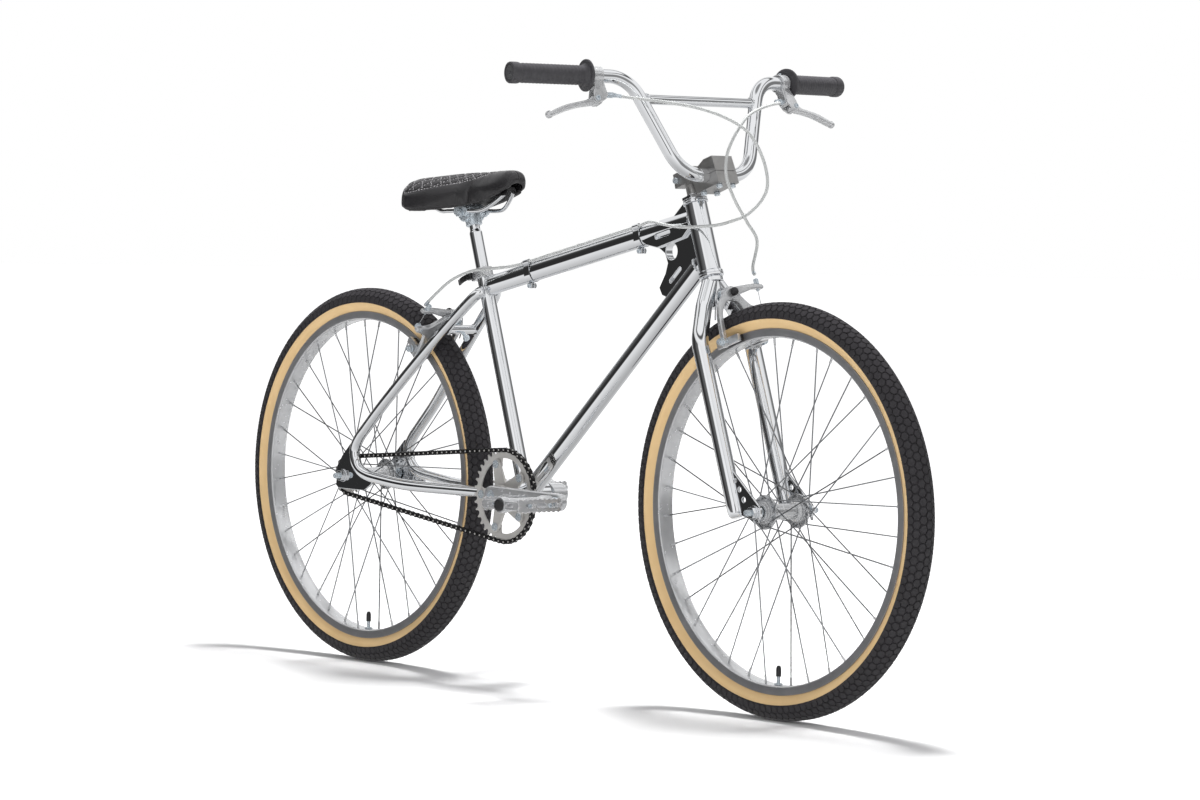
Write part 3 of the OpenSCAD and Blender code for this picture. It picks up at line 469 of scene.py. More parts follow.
def weave(size):
    """The height of crossed cords, size mm apart."""
    def made(tree, where):
        threads = []
        for turn in (0.8, -0.8):
            mapped = add(tree, "ShaderNodeMapping", {"Vector": where, "Rotation": (0, turn, 0),
                "Scale": (1 / (size * MM),) * 3})
            threads.append(add(tree, "ShaderNodeTexWave", {"Vector": mapped.outputs[0], "Scale": 0.16},
                wave_type="BANDS").outputs[0])
        return add(tree, "ShaderNodeMath", {0: threads[0], 1: threads[1]}, operation="MAXIMUM").outputs[0]
    return made


# Chrome plate over polished steel: a mirror, faintly wavy where the polishing wheel ran.
CHROME = finish("chrome_plate", "EEEFF1", "E3E5E8", 0.045, 1.0, 120, 40, 0.004, 0.03)
# Chrome over brushed steel: fine lines along the part spread its reflections.
CHROME_SATIN = finish("satin_chrome", "D9DBDD", "C9CBCE", 0.2, 1.0, 60, 0.7, 0.006, 0.1)
# Drawn stainless wire, grey and finely scratched along its length.
WIRE = finish("drawn_stainless_wire", "A2A4A7", "808285", 0.3, 1.0, 40, 0.7, 0.006, 0.12)
# Polished cast aluminium: bright, a little milky, with small hollows.
ALLOY = finish("polished_aluminium", "D2D3D4", "BBBCBE", 0.22, 0.65, 25, 3, 0.012, 0.12)
# Bead-blasted and clear-anodised aluminium: even grey with no mirror.
ALLOY_SATIN = finish("anodised_aluminium", "B7B6B5", "A3A2A1", 0.42, 1.0, 20, 0.6, 0.01, 0.1)
# Machined rim wall: grey, with turning lines too fine to count.
BRAKE_TRACK = finish("machined_brake_track", "8A8A8C", "6F7072", 0.34, 0.45, 30, 0.6, 0.008, 0.12)
# Stamped and tumbled plate steel under dull nickel.
STAMPED = finish("tumbled_nickel_steel", "BDBBB8", "ABA9A6", 0.45, 0.3, 18, 0.8, 0.015, 0.1)
# Zinc-plated fasteners: bluish, slightly cloudy.
ZINC = finish("zinc_plate", "D3DADF", "AEB8C0", 0.24, 0.55, 6, 1.2, 0.012, 0.14)
# Blackened chain plates, wiped with oil.
BLACK_STEEL = finish("black_oxide_steel", "353435", "1C1C1D", 0.3, 0.7, 6, 0.8, 0.01, 0.15)
# Vulcanised tread rubber: near black, dusty on its faces.
TREAD = finish("tread_rubber", "302E31", "232124", 0.68, 0.0, 14, 0.9, 0.05, 0.16)
# Skin-coloured rubber over casing cords, the cords showing as a faint diagonal weave drawn coarse enough to see.
TAN_WALL = finish("tan_sidewall_rubber", "E0C190", "D6B47F", 0.6, 0.0, 35, 0.8, 0.03, 0.1, wave=weave(1.6))
# Soft moulded grip rubber with a fine pebbled skin.
GRIP = finish("pebbled_grip_rubber", "454447", "353437", 0.62, 0.0, 10, 1.0, 0.12, 0.14, wave=cells(1.5))
# Extruded plastic cable cover over a steel spiral.
HOUSING = finish("grey_cable_cover", "BDBFBE", "AEB0AF", 0.3, 0.0, 12, 2.0, 0.01, 0.08)
# Injection-moulded black plastic.
PLASTIC = finish("moulded_black_plastic", "242325", "1A191B", 0.42, 0.0, 8, 0.7, 0.02, 0.12)
# Hard brake-block rubber.
BLOCK_RUBBER = finish("brake_block_rubber", "1F1E20", "161517", 0.74, 0.0, 6, 0.8, 0.04, 0.1)
# Stretched vinyl with a leather grain of 1 to 2 mm.
VINYL = finish("grained_vinyl", "282729", "1D1C1E", 0.36, 0.0, 30, 0.5, 0.09, 0.1, wave=cells(1.3),
    Specular_IOR_Level=0.55)
# Waxed grey sewing thread.
THREAD = finish("waxed_thread", "9B999B", "7C7A7D", 0.6, 0.0, 2, 0.4, 0.03, 0.1)
# Black steel rod for the seat lever.
BLACK_PAINT = finish("black_enamel", "1C1C1E", "121213", 0.22, 0.0, 20, 1.5, 0.01, 0.08)


# ---------------------------------------------------------------- sizes a user would change
class BicycleTyreSizes(bpy.types.PropertyGroup):
    """Sizes of the tyres' tread."""

    block_pitch: bpy.props.FloatProperty(name="Block pitch",
        description="Distance between tread blocks along the tyre, in mm", default=14.0, min=8.0, max=30.0)
    block_height: bpy.props.FloatProperty(name="Block height",
        description="How far the blocks stand above the casing, in mm", default=2.2, min=0.5, max=5.0)
    spoke_count: bpy.props.IntProperty(name="Spokes", description="Spokes in each wheel", default=36, min=24, max=48,
        step=4)


class BicycleSaddleSizes(bpy.types.PropertyGroup):
    """Sizes of the saddle's sewing."""

    stitch_length: bpy.props.FloatProperty(name="Stitch length", description="Length of one stitch, in mm",
        default=4.0, min=1.0, max=8.0)
    quilt_pitch: bpy.props.FloatProperty(name="Quilting",
        description="Distance between quilted lines along the saddle, in mm", default=21.0, min=8.0, max=60.0)
    fill: bpy.props.FloatProperty(name="Fill", description="How full the pad is", default=0.8, min=0.0, max=1.0,
        subtype="FACTOR")


class BicycleStageSettings(bpy.types.PropertyGroup):
    """The studio around the bicycle."""

    azimuth: bpy.props.FloatProperty(name="Azimuth", description="Angle of the camera round the bicycle",
        default=math.radians(49.43), subtype="ANGLE")
    elevation: bpy.props.FloatProperty(name="Elevation", description="Angle of the camera above the floor",
        default=math.radians(2.42), subtype="ANGLE")
    roll: bpy.props.FloatProperty(name="Roll", description="Tilt of the camera about its own line of sight",
        default=math.radians(0.83), subtype="ANGLE")
    distance: bpy.props.FloatProperty(name="Distance", description="From the camera to the point it looks at",
        default=6.81315, unit="LENGTH")
    lens: bpy.props.FloatProperty(name="Lens", description="Focal length in mm", default=124.78, min=20.0)


# ---------------------------------------------------------------- stage
def band_ramp(tree, value, stops):
    """A grey ramp over 0 to 1 from (place, brightness) stops."""
    ramp = add(tree, "ShaderNodeValToRGB", {"Fac": value})
    keys = ramp.color_ramp.elements
    while len(keys) > 1:
        keys.remove(keys[-1])
    keys[0].position, keys[0].color = stops[0][0], (*(stops[0][1],) * 3, 1)
    for spot, grey in stops[1:]:
        keys.new(spot).color = (grey, grey, grey, 1)
    return ramp.outputs[0]


class BicycleStage(bpy.types.Operator):
    """Sets the camera, the white floor, the lights and the studio that the chrome mirrors"""

    bl_idname = "bicycle.stage"
    bl_label = "Stage"

    def camera(self, settings):
        az, el, roll = settings.azimuth, settings.elevation, settings.roll
        back = Vector((math.sin(az) * math.cos(el), -math.cos(az) * math.cos(el), math.sin(el)))
        level = Vector((math.cos(az), math.sin(az), 0))
        up = back.cross(level)
        right = math.cos(roll) * level + math.sin(roll) * up
        bpy.ops.object.camera_add()
        camera = bpy.context.object
        camera.name = "studio_camera"
        turn = Matrix((right, back.cross(right), back)).transposed().to_4x4()
        camera.matrix_world = Matrix.Translation(Vector((0.0885, 0, 0.483)) + back * settings.distance) @ turn
        camera.data.lens = settings.lens
        camera.data.sensor_width = 36
        camera.data.clip_end = 200
        bpy.context.scene.camera = camera

    def floor(self):
        deselect()
        bpy.ops.mesh.primitive_circle_add(vertices=96, radius=60, fill_type="NGON", location=(0, 0, -0.0002))
        floor = bpy.context.object
        floor.name = "studio_floor"
        bpy.ops.object.transform_apply(location=True)
        paper = finish("white_paper_floor", "F4F4F4", "F0F0F0", 0.85, 0.0, 900, 4, 0.02, 0.04)
        tree = paper.node_tree
        where = add(tree, "ShaderNodeTexCoord").outputs["Object"]
        away = add(tree, "ShaderNodeVectorMath", {0: where}, operation="LENGTH").outputs["Value"]
        # Painted glow: the floor gives off light of its own, none near the bicycle and rising with distance as it
        # recedes, so that it meets the white background without a horizon while the shadows under the tyres stay dark.
        lift = add(tree, "ShaderNodeMapRange", {"Value": away, "From Min": 1.0, "From Max": 4.5, "To Min": 0.0,
            "To Max": 0.75}, interpolation_type="SMOOTHSTEP").outputs[0]
        tree.nodes["Principled BSDF"].inputs["Emission Color"].default_value = (1, 1, 1, 1)
        tree.links.new(lift, tree.nodes["Principled BSDF"].inputs["Emission Strength"])
        coat(floor, paper)
        floor.visible_glossy = False

    def lights(self):
        for name, at, size, power in (("overhead_box", (-0.2, 0.6, 3.1), 0.7, 150),
            ("front_box", (3.2, -3.4, 2.6), 2.4, 60)):
            bpy.ops.object.light_add(type="AREA", location=at)
            light = bpy.context.object
            light.name = name
            light.data.size = size
            light.data.energy = power
            light.rotation_euler = (Vector((0, 0, 0.4)) - Vector(at)).to_track_quat("-Z", "Y").to_euler()
            light.visible_glossy = False

    def studio(self, azimuth):
        """What is seen is white; what the chrome mirrors has dark walls, white gaps and overhead boxes."""
        world = bpy.data.worlds.new("white_studio")
        bpy.context.scene.world = world
        world.use_nodes = True
        tree = world.node_tree
        way = add(tree, "ShaderNodeTexCoord").outputs["Generated"]
        turned = add(tree, "ShaderNodeVectorRotate", {"Vector": way, "Angle": math.pi / 2 - azimuth},
            rotation_type="Z_AXIS")
        xyz = add(tree, "ShaderNodeSeparateXYZ", {0: turned.outputs[0]}).outputs
        around = add(tree, "ShaderNodeMath", {0: xyz["Y"], 1: xyz["X"]}, operation="ARCTAN2").outputs[0]
        share = add(tree, "ShaderNodeMapRange", {"Value": around, "From Min": -math.pi, "From Max": math.pi}).outputs[0]
        walls = band_ramp(tree, share, [(0, 0.95), (0.07, 0.9), (0.095, 0.16), (0.17, 0.09), (0.205, 0.03),
            (0.25, 0.03), (0.30, 0.1), (0.375, 0.17), (0.392, 1.0), (0.478, 1.0),
            (0.486, 0.06), (0.508, 0.05), (0.516, 1.0), (0.595, 1.0), (0.612, 0.3), (0.69, 0.24), (0.70, 0.5),
            (0.712, 0.24), (0.86, 0.2), (0.89, 0.09), (0.905, 0.9), (1, 0.95)])
        height = add(tree, "ShaderNodeMapRange", {"Value": xyz["Z"], "From Min": -1.0, "From Max": 1.0}).outputs[0]
        sky = band_ramp(tree, height, [(0, 1.0), (0.42, 1.0), (0.45, 0.0), (0.68, 0.0), (0.72, 1.0), (1, 1.0)])
        roof = band_ramp(tree, height, [(0, 0.5), (0.3, 0.8), (0.42, 0.9), (0.5, 0.5), (0.72, 0.9), (0.81, 1.0),
            (0.83, 0.12), (0.855, 0.1), (0.875, 1.0), (0.965, 1.0), (0.985, 0.3)])
        mirror = add(tree, "ShaderNodeMix", {"Factor": sky}, data_type="RGBA")
        tree.links.new(walls, mirror.inputs[6])
        tree.links.new(roof, mirror.inputs[7])
        path = add(tree, "ShaderNodeLightPath").outputs
        glossy = add(tree, "ShaderNodeMix", {"Factor": path["Is Glossy Ray"]}, data_type="RGBA")
        glossy.inputs[6].default_value = (0.4, 0.4, 0.41, 1)
        tree.links.new(mirror.outputs[2], glossy.inputs[7])
        seen = add(tree, "ShaderNodeMix", {"Factor": path["Is Camera Ray"]}, data_type="RGBA")
        tree.links.new(glossy.outputs[2], seen.inputs[6])
        seen.inputs[7].default_value = (1, 1, 1, 1)
        tree.links.new(seen.outputs[2], tree.nodes["Background"].inputs["Color"])

    def execute(self, context):
        settings = context.scene.bicycle_stage
        self.camera(settings)
        self.floor()
        self.lights()
        self.studio(settings.azimuth)
        context.scene.view_settings.view_transform = "Standard"
        return {"FINISHED"}


# ---------------------------------------------------------------- wheels
WHEELS = (("front", FRONT_AXLE, "front_wheel"), ("rear", REAR_AXLE, "rear_wheel"))
AXLE = UPRIGHT  # turned shapes stand on Z and turn to the axle


def shell(turn, lift=0.0):
    """A point on the tyre's casing, as (radius, sideways), turn radians round from the crown."""
    return 304 + (20.8 + lift) * math.cos(turn), (22.2 + lift) * math.sin(turn)


class BicycleTyres(bpy.types.Operator):
    """Makes the tan-walled tyres: a turned casing under staggered six-sided tread blocks"""

    bl_idname = "bicycle.tyres"
    bl_label = "Tyres"

    def casing(self):
        turns = [-142 + i * 43.75 / 6 for i in range(6)] + [-98.25 + i * 196.5 / 20 for i in range(21)] + [98.25
            + i * 43.75 / 6 for i in range(1, 7)]
        outer = [shell(math.radians(a)) for a in turns]
        wall = [(281, -9.5), (281, -13.2), (286.5, -13.2), (286.9, -14.4)] + outer[1:-1] + [(286.9, 14.4),
            (286.5, 13.2), (281, 13.2), (281, 9.5), (286, 9.5)]
        inner = [(303.5 + 19 * math.sin(math.radians(a)), 20.3 * math.cos(math.radians(a))) for a in range(-48, 230,
            12)]
        casing = lathe(wall + inner + [(286, -9.5)], 120, closed=True)
        coat(casing, TREAD)
        return coat_where(casing, TAN_WALL, lambda c: math.hypot(c.x, c.y) < 301 and abs(c.z) > 13)

    def block(self, column, sizes):
        """One tread block, bent to the casing at its column."""
        deselect()
        reach = sizes.block_pitch / math.sqrt(3)
        bpy.ops.mesh.primitive_cylinder_add(vertices=6, radius=(reach - 0.9) * MM,
            depth=(sizes.block_height + 0.8) * MM, end_fill_type="NGON", rotation=(0, 0, math.pi / 6))
        obj = bpy.context.object
        bpy.ops.object.transform_apply(location=True, rotation=True)
        on_faces(obj, lambda face: face.normal.z > 0.9, lambda: bpy.ops.mesh.bevel(offset=0.9 * MM, segments=1))
        start = math.radians(26.4) * column
        slide = sizes.block_pitch / 2 * (column % 2)
        for v in obj.data.vertices:
            turn = start + v.co.x / MM / 26
            radius, side = shell(turn, v.co.z / MM + (sizes.block_height - 0.8) / 2)
            lean = (v.co.y / MM + slide) / 327
            v.co = Vector((radius * math.cos(lean), radius * math.sin(lean), side)) * MM
        return obj

    def execute(self, context):
        sizes = context.scene.bicycle_tyres
        count = round(math.tau * 327 / sizes.block_pitch)
        blocks = join(*[self.block(column, sizes) for column in range(-3, 4)])
        edit(blocks, lambda: bpy.ops.mesh.spin(steps=count - 1, angle=math.tau * (count - 1) / count, center=(0, 0, 0),
            axis=(0, 0, 1), dupli=True))
        tidy(blocks)
        coat(blocks, TREAD)
        tyre = join(self.casing(), blocks)
        tyre = join(tyre)
        for side, axle, body in WHEELS:
            fit(place(copied(tyre), axle @ AXLE), f"{side}_tan_wall_tyre", body, "tyre", f"{side}_tyre", angle=28)
        pick(tyre)
        bpy.ops.object.delete()
        return {"FINISHED"}


class BicycleRims(bpy.types.Operator):
    """Makes the box-section rims with machined brake tracks, and the tubes with their capped valves"""

    bl_idname = "bicycle.rims"
    bl_label = "Rims and valves"

    def execute(self, context):
        half = [(286, 15.5), (285.2, 15.9), (284.6, 15.4), (274, 15.4), (272.6, 14.6), (271.5, 12.4)]
        well = [(275, -7), (278.6, -9), (279.5, -13.4), (286, -13.4)]
        rim = coat(lathe(half + [(271.5, 4), (271.5, -4)] + [(r, -y) for r, y in reversed(half)] + [(r, y) for r,
            y in reversed(well)] + [(r, -y) for r, y in well], 144, closed=True), ALLOY)
        coat_where(rim, BRAKE_TRACK, lambda c: abs(c.z) > 15 and math.hypot(c.x, c.y) > 274)
        stem = lathe([(0, -286), (3, -286), (3, -278), (3.6, -278), (3.6, -271), (6.5, -271), (6.5, -269), (3, -268),
            (3, -256), (0, -256)], 20)
        cap = lathe([(0, -258), (4.2, -258), (4.2, -246), (3.4, -243), (2.2, -241), (0, -241)], 20)
        valve = join(coat(cap, PLASTIC), coat(stem, ZINC))
        for side, axle, body in WHEELS:
            fit(place(copied(rim), axle @ AXLE), f"{side}_polished_rim", body, "polished_alloy", f"{side}_rim")
            torus = lathe(circle(303.5, 0, 16.5, 20), 60, closed=True)
            inner = join(place(coat(torus, TREAD), AXLE), copied(valve))
            fit(place(inner, axle), f"{side}_tube_and_valve", body, "tube_rubber", f"{side}_inner_tube")
        for spare in (rim, valve):
            pick(spare)
            bpy.ops.object.delete()
        return {"FINISHED"}


class BicycleSpokes(bpy.types.Operator):
    """Laces the wheels: crossed spokes with bent heads and nipples"""

    bl_idname = "bicycle.spokes"
    bl_label = "Spokes"

    def lines(self, count):
        """Each spoke's line, from its head through the flange to the rim."""
        made = []
        half = count // 2
        for side in (-1, 1):
            for hole in range(half):
                out = hole % 2 == 0
                a = math.radians(360 / half * hole + (10 if side > 0 else 0) + 5)
                b = a + math.radians(60 if out else -60)
                elbow = Vector((22 * math.cos(a), side * (38.4 if out else 31.6), 22 * math.sin(a)))
                head = Vector((elbow.x, side * (32 if out else 37.4), elbow.z))
                rim = Vector((271.3 * math.cos(b), side * (4.6 if out else 1.2), 271.3 * math.sin(b)))
                made.append([head, elbow, elbow + (rim - elbow).normalized() * 3, rim])
        return made

    def execute(self, context):
        lines = self.lines(context.scene.bicycle_tyres.spoke_count)
        spokes = coat(tube(lines, 1.1, 1), WIRE)
        nipples = coat(tube([[line[3] + (line[2] - line[3]).normalized() * 12, line[3]] for line in lines], 1.9, 1),
            ALLOY)
        heads = coat(tube([[line[0], line[0] + Vector((0, math.copysign(0.9, line[0].y - line[1].y),
            0))] for line in lines], 1.9, 1), CHROME_SATIN)
        laced = join(nipples, heads, spokes)
        for side, axle, body in WHEELS:
            fit(place(copied(laced), axle), f"{side}_laced_spokes", body, "spoke_steel", f"{side}_spokes", angle=50)
        pick(laced)
        bpy.ops.object.delete()
        return {"FINISHED"}


class BicycleHubs(bpy.types.Operator):
    """Turns the hubs, and makes the axles, cones, nuts and washers"""

    bl_idname = "bicycle.hubs"
    bl_label = "Hubs and axles"

    def execute(self, context):
        half = [(11.5, 44.5), (13.4, 44.5), (14, 43.8), (14, 41), (16.4, 41), (17, 40.4), (17, 36.6), (17.4, 36.2),
            (26.6, 36.2), (27, 35.8), (27, 33.2), (26.6, 32.8), (17.6, 32.8), (17, 32.2), (17, 29), (16, 28), (13, 25),
            (12.6, 20)]
        hub = lathe(half + [(r, -y) for r, y in reversed(half)] + [(9.5, -44), (9.5, 44)], 72, closed=True)
        for side, axle, body in WHEELS:
            fit(place(coat(copied(hub), ALLOY), axle @ AXLE), f"{side}_turned_hub", body, "polished_alloy",
                f"{side}_hub")
        pick(hub)
        bpy.ops.object.delete()
        for side, axle, body, lock, reach in (("front", FRONT_AXLE, "steering", 45, 76),
            ("rear", REAR_AXLE, "frame", 47, 78.5)):
            half = [(4.75, reach - 0.8), (4.2, reach)]
            rings = [(4.75 + 0.3 * (i % 2), reach - 9 + i * 0.75) for i in range(11)]  # thread, drawn coarse enough to show
            line = [(0, -reach)] + [(r, -y) for r, y in reversed(half)] + [(r, -y) for r,
                y in reversed(rings)] + rings + half + [(0, reach)]
            spindle = coat(place(lathe(line, 28), AXLE), ZINC)
            cones = [coat(bar((0, s * lock, 0), (0, s * (lock + 7.9), 0), 9, 0.8), ZINC) for s in (-1, 1)]
            fit(place(join(*cones, spindle), axle), f"{side}_threaded_axle", body, "chrome", f"{side}_axle")
            nuts = ease(coat(remade(f"{side}_axle_nuts"), CHROME), 0.6)
            fit(nuts, f"{side}_hex_nuts", body, "chrome", f"{side}_axle_nuts")
        return {"FINISHED"}


# ---------------------------------------------------------------- frame
OVAL = [(17 * math.cos(math.tau * i / 56), 12 * math.sin(math.tau * i / 56)) for i in range(56)]


def top_tube_z(x):
    """Height of the top tube's centreline."""
    return 693.5 + 0.2234 * (x + 70)


def slotted(p, q, radius):
    """A round-ended slot's outline from p to q."""
    return blade(p[0], p[1], radius, q[0], q[1], radius, 10)


class BicycleFrameTubes(bpy.types.Operator):
    """Makes the chromed head, top, down and seat tubes and the bottom bracket shell"""

    bl_idname = "bicycle.frame_tubes"
    bl_label = "Frame tubes"

    def oval(self, x0, z0, x1, z1):
        length = math.hypot(x1 - x0, z1 - z0)
        stand = Matrix.Translation((x0 * MM, 0, z0 * MM)) @ Matrix.Rotation(math.pi / 2 - math.atan2(z1 - z0, x1 - x0),
            4, "Y")
        return coat(place(plate(OVAL, length, 0.4), stand @ Matrix.Translation((0, 0, length / 2 * MM))), CHROME)

    def weld(self, x0, z0, x1, z1):
        """The raised bead round the foot of an oval tube."""
        stand = Matrix.Translation((x0 * MM, 0, z0 * MM)) @ Matrix.Rotation(math.pi / 2 - math.atan2(z1 - z0, x1 - x0),
            4, "Y")
        beads = [(x * 1.04, y * 1.04, 1.1 * math.sin(i * 1.9)) for i, (x, y) in enumerate(OVAL)]
        return coat(place(tube([beads], 1.7, 2, closed=True), stand), CHROME_SATIN)

    def execute(self, context):
        head = lathe([(15.2, -57), (17.4, -57), (18, -56.4), (18, 55.4), (17.4, 56), (15.2, 56)], 96, closed=True)
        fit(place(coat(head, CHROME), HEAD), "chromed_head_tube", "frame", "chrome", "head_tube")
        top = self.oval(-200, top_tube_z(-200), 330, top_tube_z(330))
        fit(join(self.weld(311, top_tube_z(311), 331, top_tube_z(331)),
            self.weld(-199, top_tube_z(-199), 0, top_tube_z(0)), top), "chromed_top_tube", "frame", "chrome",
            "top_tube")
        slope = (721 - 313) / (346 - BB_X)
        down = self.oval(BB_X + 3, 313 + 3 * slope, 343, 721 - 3 * slope)
        fit(join(self.weld(329, 721 - 17 * slope, 346, 721), self.weld(BB_X + 20, 313 + 20 * slope, 346, 721), down),
            "chromed_down_tube", "frame", "chrome", "down_tube")
        seat = lathe([(0, 14), (12.7, 14), (12.7, 391.4), (12.1, 392), (11.2, 392), (11.2, 380), (0, 380)], 72)
        fit(place(coat(seat, CHROME), along(seat_at(BB_Z), seat_at(700))), "chromed_seat_tube", "frame", "chrome",
            "seat_tube")
        half = [(20.5, 35), (24.4, 35), (25, 34.4)]
        bracket = lathe(half + [(r, -y) for r, y in reversed(half)], 72, closed=True)
        fit(place(coat(bracket, CHROME), CRANK @ AXLE), "chromed_bottom_bracket", "frame", "chrome",
            "bottom_bracket_shell")
        half = [(9.4, 37.4), (16, 37.4), (16.6, 38), (21.6, 38), (22.5, 37.2), (22.5, 35.2), (20.4, 35), (20.4, 21),
            (9.4, 21)]
        cups = [place(coat(lathe([(r, s * y) for r, y in half], 48, closed=True), ALLOY), CRANK @ AXLE) for s in (-1,
            1)]
        fit(join(*cups), "bottom_bracket_covers", "frame", "polished_alloy", "bottom_bracket_cups")
        return {"FINISHED"}


class BicycleFrameFittings(bpy.types.Operator):
    """Makes the head gusset, the looped rear tubes with their bridges, the dropouts and the cable clips"""

    bl_idname = "bicycle.frame_fittings"
    bl_label = "Frame fittings"

    def gusset(self):
        core = [(199, 745), (210, 748), (320, 776), (338, 752), (330, 712), (270, 651), (246, 658), (239, 670),
            (254, 694), (259, 710), (252, 725), (238, 733), (212, 737)]
        holes = [circle(268, 729, 13.8, 40), slotted((267, 681), (289, 701), 3)]
        box = place(plate(core, 15, 1.2, holes), UPRIGHT)
        flange = [(200, 745), (213, 738), (240, 734), (300, 751), (317, 768), (312, 777), (302, 774), (250, 761)]
        cheeks = [place(plate(flange, 6.4, 1.2, [slotted((238, 752), (266, 759.5), 4)]),
            Matrix.Translation((0, s * 10.4 * MM, 0)) @ UPRIGHT) for s in (-1, 1)]
        wedge = place(plate([(262, 779), (332, 794), (308, 815), (299, 812.5)], 10, 1.0), UPRIGHT)
        return coat(join(*cheeks, wedge, box), CHROME)

    def loops(self):
        line = smooth([(-204, -13, 655), (-222, -24, 639.6), (-319, -41, 552), (-408, -56, 465), (-462, -59, 414),
            (-480, -59.5, 397), (-492, -59.5, 380), (-494.5, -59.5, 366), (-489, -59.5, 350), (-476, -59.5, 338),
            (-456, -59, 331), (-430, -58.8, 327), (-369, -56.5, 321), (-320, -52, 319), (-250, -41.5, 318),
            (-195, -33.2, 317.5), (-160, -28.5, 317), (BB_X, -24, 316)], 8)
        tubes = tube([line, mirrored(line)], 9.5, 8)
        bridges = [bar((-279, -34, 588), (-279, 34, 588), 8), bar((-184, -31, 317.4), (-184, 31, 317.4), 6)]
        beads = [place(lathe([(8, 27.5), (9.6, 27.5), (10.4, 29), (9.4, 30.8), (8, 31)], 32, closed=True),
            Matrix.Translation((-279 * MM, 0, 588 * MM)) @ Matrix.Rotation(s * math.pi / 2, 4, "X")) for s in (-1, 1)]
        return coat(join(*bridges, *beads, tubes), CHROME)

    def dropouts(self):
        slot = [(-546, 332.2)] + arc(-527, 327, 5.2, 90, -90, 12) + [(-546.4, 321.8)]
        outline = [(-486, 392), (-503.6, 387), (-530, 362), (-545, 342)] + slot + [(-547, 309), (-540, 304),
            (-466, 304), (-446, 316), (-446, 322), (-474, 329), (-486, 341), (-497, 352), (-503, 366), (-500, 378)]
        left = place(plate(outline, 5, 0.9), Matrix.Translation((0, 57.5 * MM, 0)) @ UPRIGHT)
        return coat(join(copied(left, MIRROR), left), CHROME)

    def clips(self):
        """Band clips round the top tube, each with its clamp screw below."""
        bands = coat(remade("cable_clips", 0.4), CHROME)
        screws = []
        for x in (187, -90):
            z = top_tube_z(x) - 20
            screws += [coat(block((x - 5, -5.5, z - 7), (x + 5, -1.2, z + 2), 0.8), CHROME),
                coat(block((x - 5, 1.2, z - 7), (x + 5, 5.5, z + 2), 0.8), CHROME)]
            screws += [coat(bar((x, -8, z - 2.5), (x, 8, z - 2.5), 1.8), ZINC),
                coat(bolt((x, -5.5, z - 2.5), (0, -1, 0), 3.6, 3), ZINC),
                coat(bolt((x, 5.5, z - 2.5), (0, 1, 0), 3.6, 2.6, False), ZINC)]
        return join(*screws, bands)

    def execute(self, context):
        fit(self.gusset(), "windowed_head_gusset", "frame", "chrome", "head_gussets")
        fit(self.loops(), "looped_rear_tubes", "frame", "chrome", "loop_stays")
        fit(self.dropouts(), "rear_facing_dropouts", "frame", "chrome", "rear_dropouts")
        fit(self.clips(), "banded_cable_clips", "frame", "polished_alloy", "cable_clips")
        return {"FINISHED"}


# ---------------------------------------------------------------- steering
class BicycleFork(bpy.types.Operator):
    """Makes the fork with its curved legs and slotted dropouts, and the headset"""

    bl_idname = "bicycle.fork"
    bl_label = "Fork and headset"

    def execute(self, context):
        line = rounded([(0, -6, -76), (1, -31, -116), (1, -55.5, -172), (1, -55.5, -461)], [40, 60], 14)
        line = line[:-1] + [Vector((1, -55.5, z)) for z in (-300, -380, -440, -452, -457, -460, -461)]
        widths = [1.0] * (len(line) - 4) + [0.97, 0.88, 0.7, 0.5]
        legs = [tube([points], 13.5, 10, radii=widths) for points in (line, mirrored(line))]
        steerer = lathe([(0, -118), (12.7, -117), (12.7, -76), (17, -76), (18, -75), (18, -69), (17.2, -68),
            (12.7, -68), (12.7, 71), (12, 72), (0, 72)], 64)
        slot = [(50.7, -477.3), (50, -482), (48.4, -482)] + arc(43.2, -464.3, 5.2, 0, 180, 12) + [(38, -482)]
        outline = [(8, -384), (16, -390)] + arc(43.2, -464.3, 15, 40, -50, 10) + slot + arc(43.2, -464.3, 15, -120,
            -150, 3) + [(10, -458), (6, -452)]
        holes = [circle(17.5, -405, 3.2, 18), circle(22, -421, 3.8, 18), circle(26.5, -439, 4.2, 18)]
        tip = place(plate(outline, 5, 0.9, holes), Matrix.Translation((0, 55.5 * MM, 0)) @ UPRIGHT)
        fork = coat(join(tip, copied(tip, MIRROR), *legs, steerer), CHROME)
        fit(place(fork, HEAD), "chromed_fork", "steering", "chrome", "fork")
        lower = lathe([(13.4, -66.8), (19.6, -66.8), (20.5, -65.8), (20.5, -63), (19.7, -62.4), (20.5, -61.8),
            (20.3, -58.4), (18.6, -57.2), (13.4, -57.2)], 72, closed=True)
        upper = lathe([(13.4, 56.2), (18.8, 56.2), (20.3, 57), (20.5, 59.2), (20, 60), (13.4, 60)], 72, closed=True)
        fit(place(coat(join(lower, upper), CHROME), HEAD), "headset_cups_turned", "frame", "chrome", "headset_cups")
        washer = lathe([(12.8, 60.2), (19.4, 60.2), (20, 60.8), (20, 62.9), (19.4, 63.5), (12.8, 63.5)], 64,
            closed=True)
        nut = place(plate(hexagon(20.5), 5.5, 0.9, [circle(0, 0, 12.8, 48)]), Matrix.Translation((0, 0, 66.25 * MM)))
        fit(place(coat(join(washer, nut), CHROME), HEAD), "headset_lock_nut", "steering", "chrome", "headset_locknut")
        return {"FINISHED"}


BAR_END = Vector((20.5, -349, 258.4))
BAR_BEND = Vector((54.5, -138, 246))
BAR_FOOT = Vector((57, -70.5, 84))


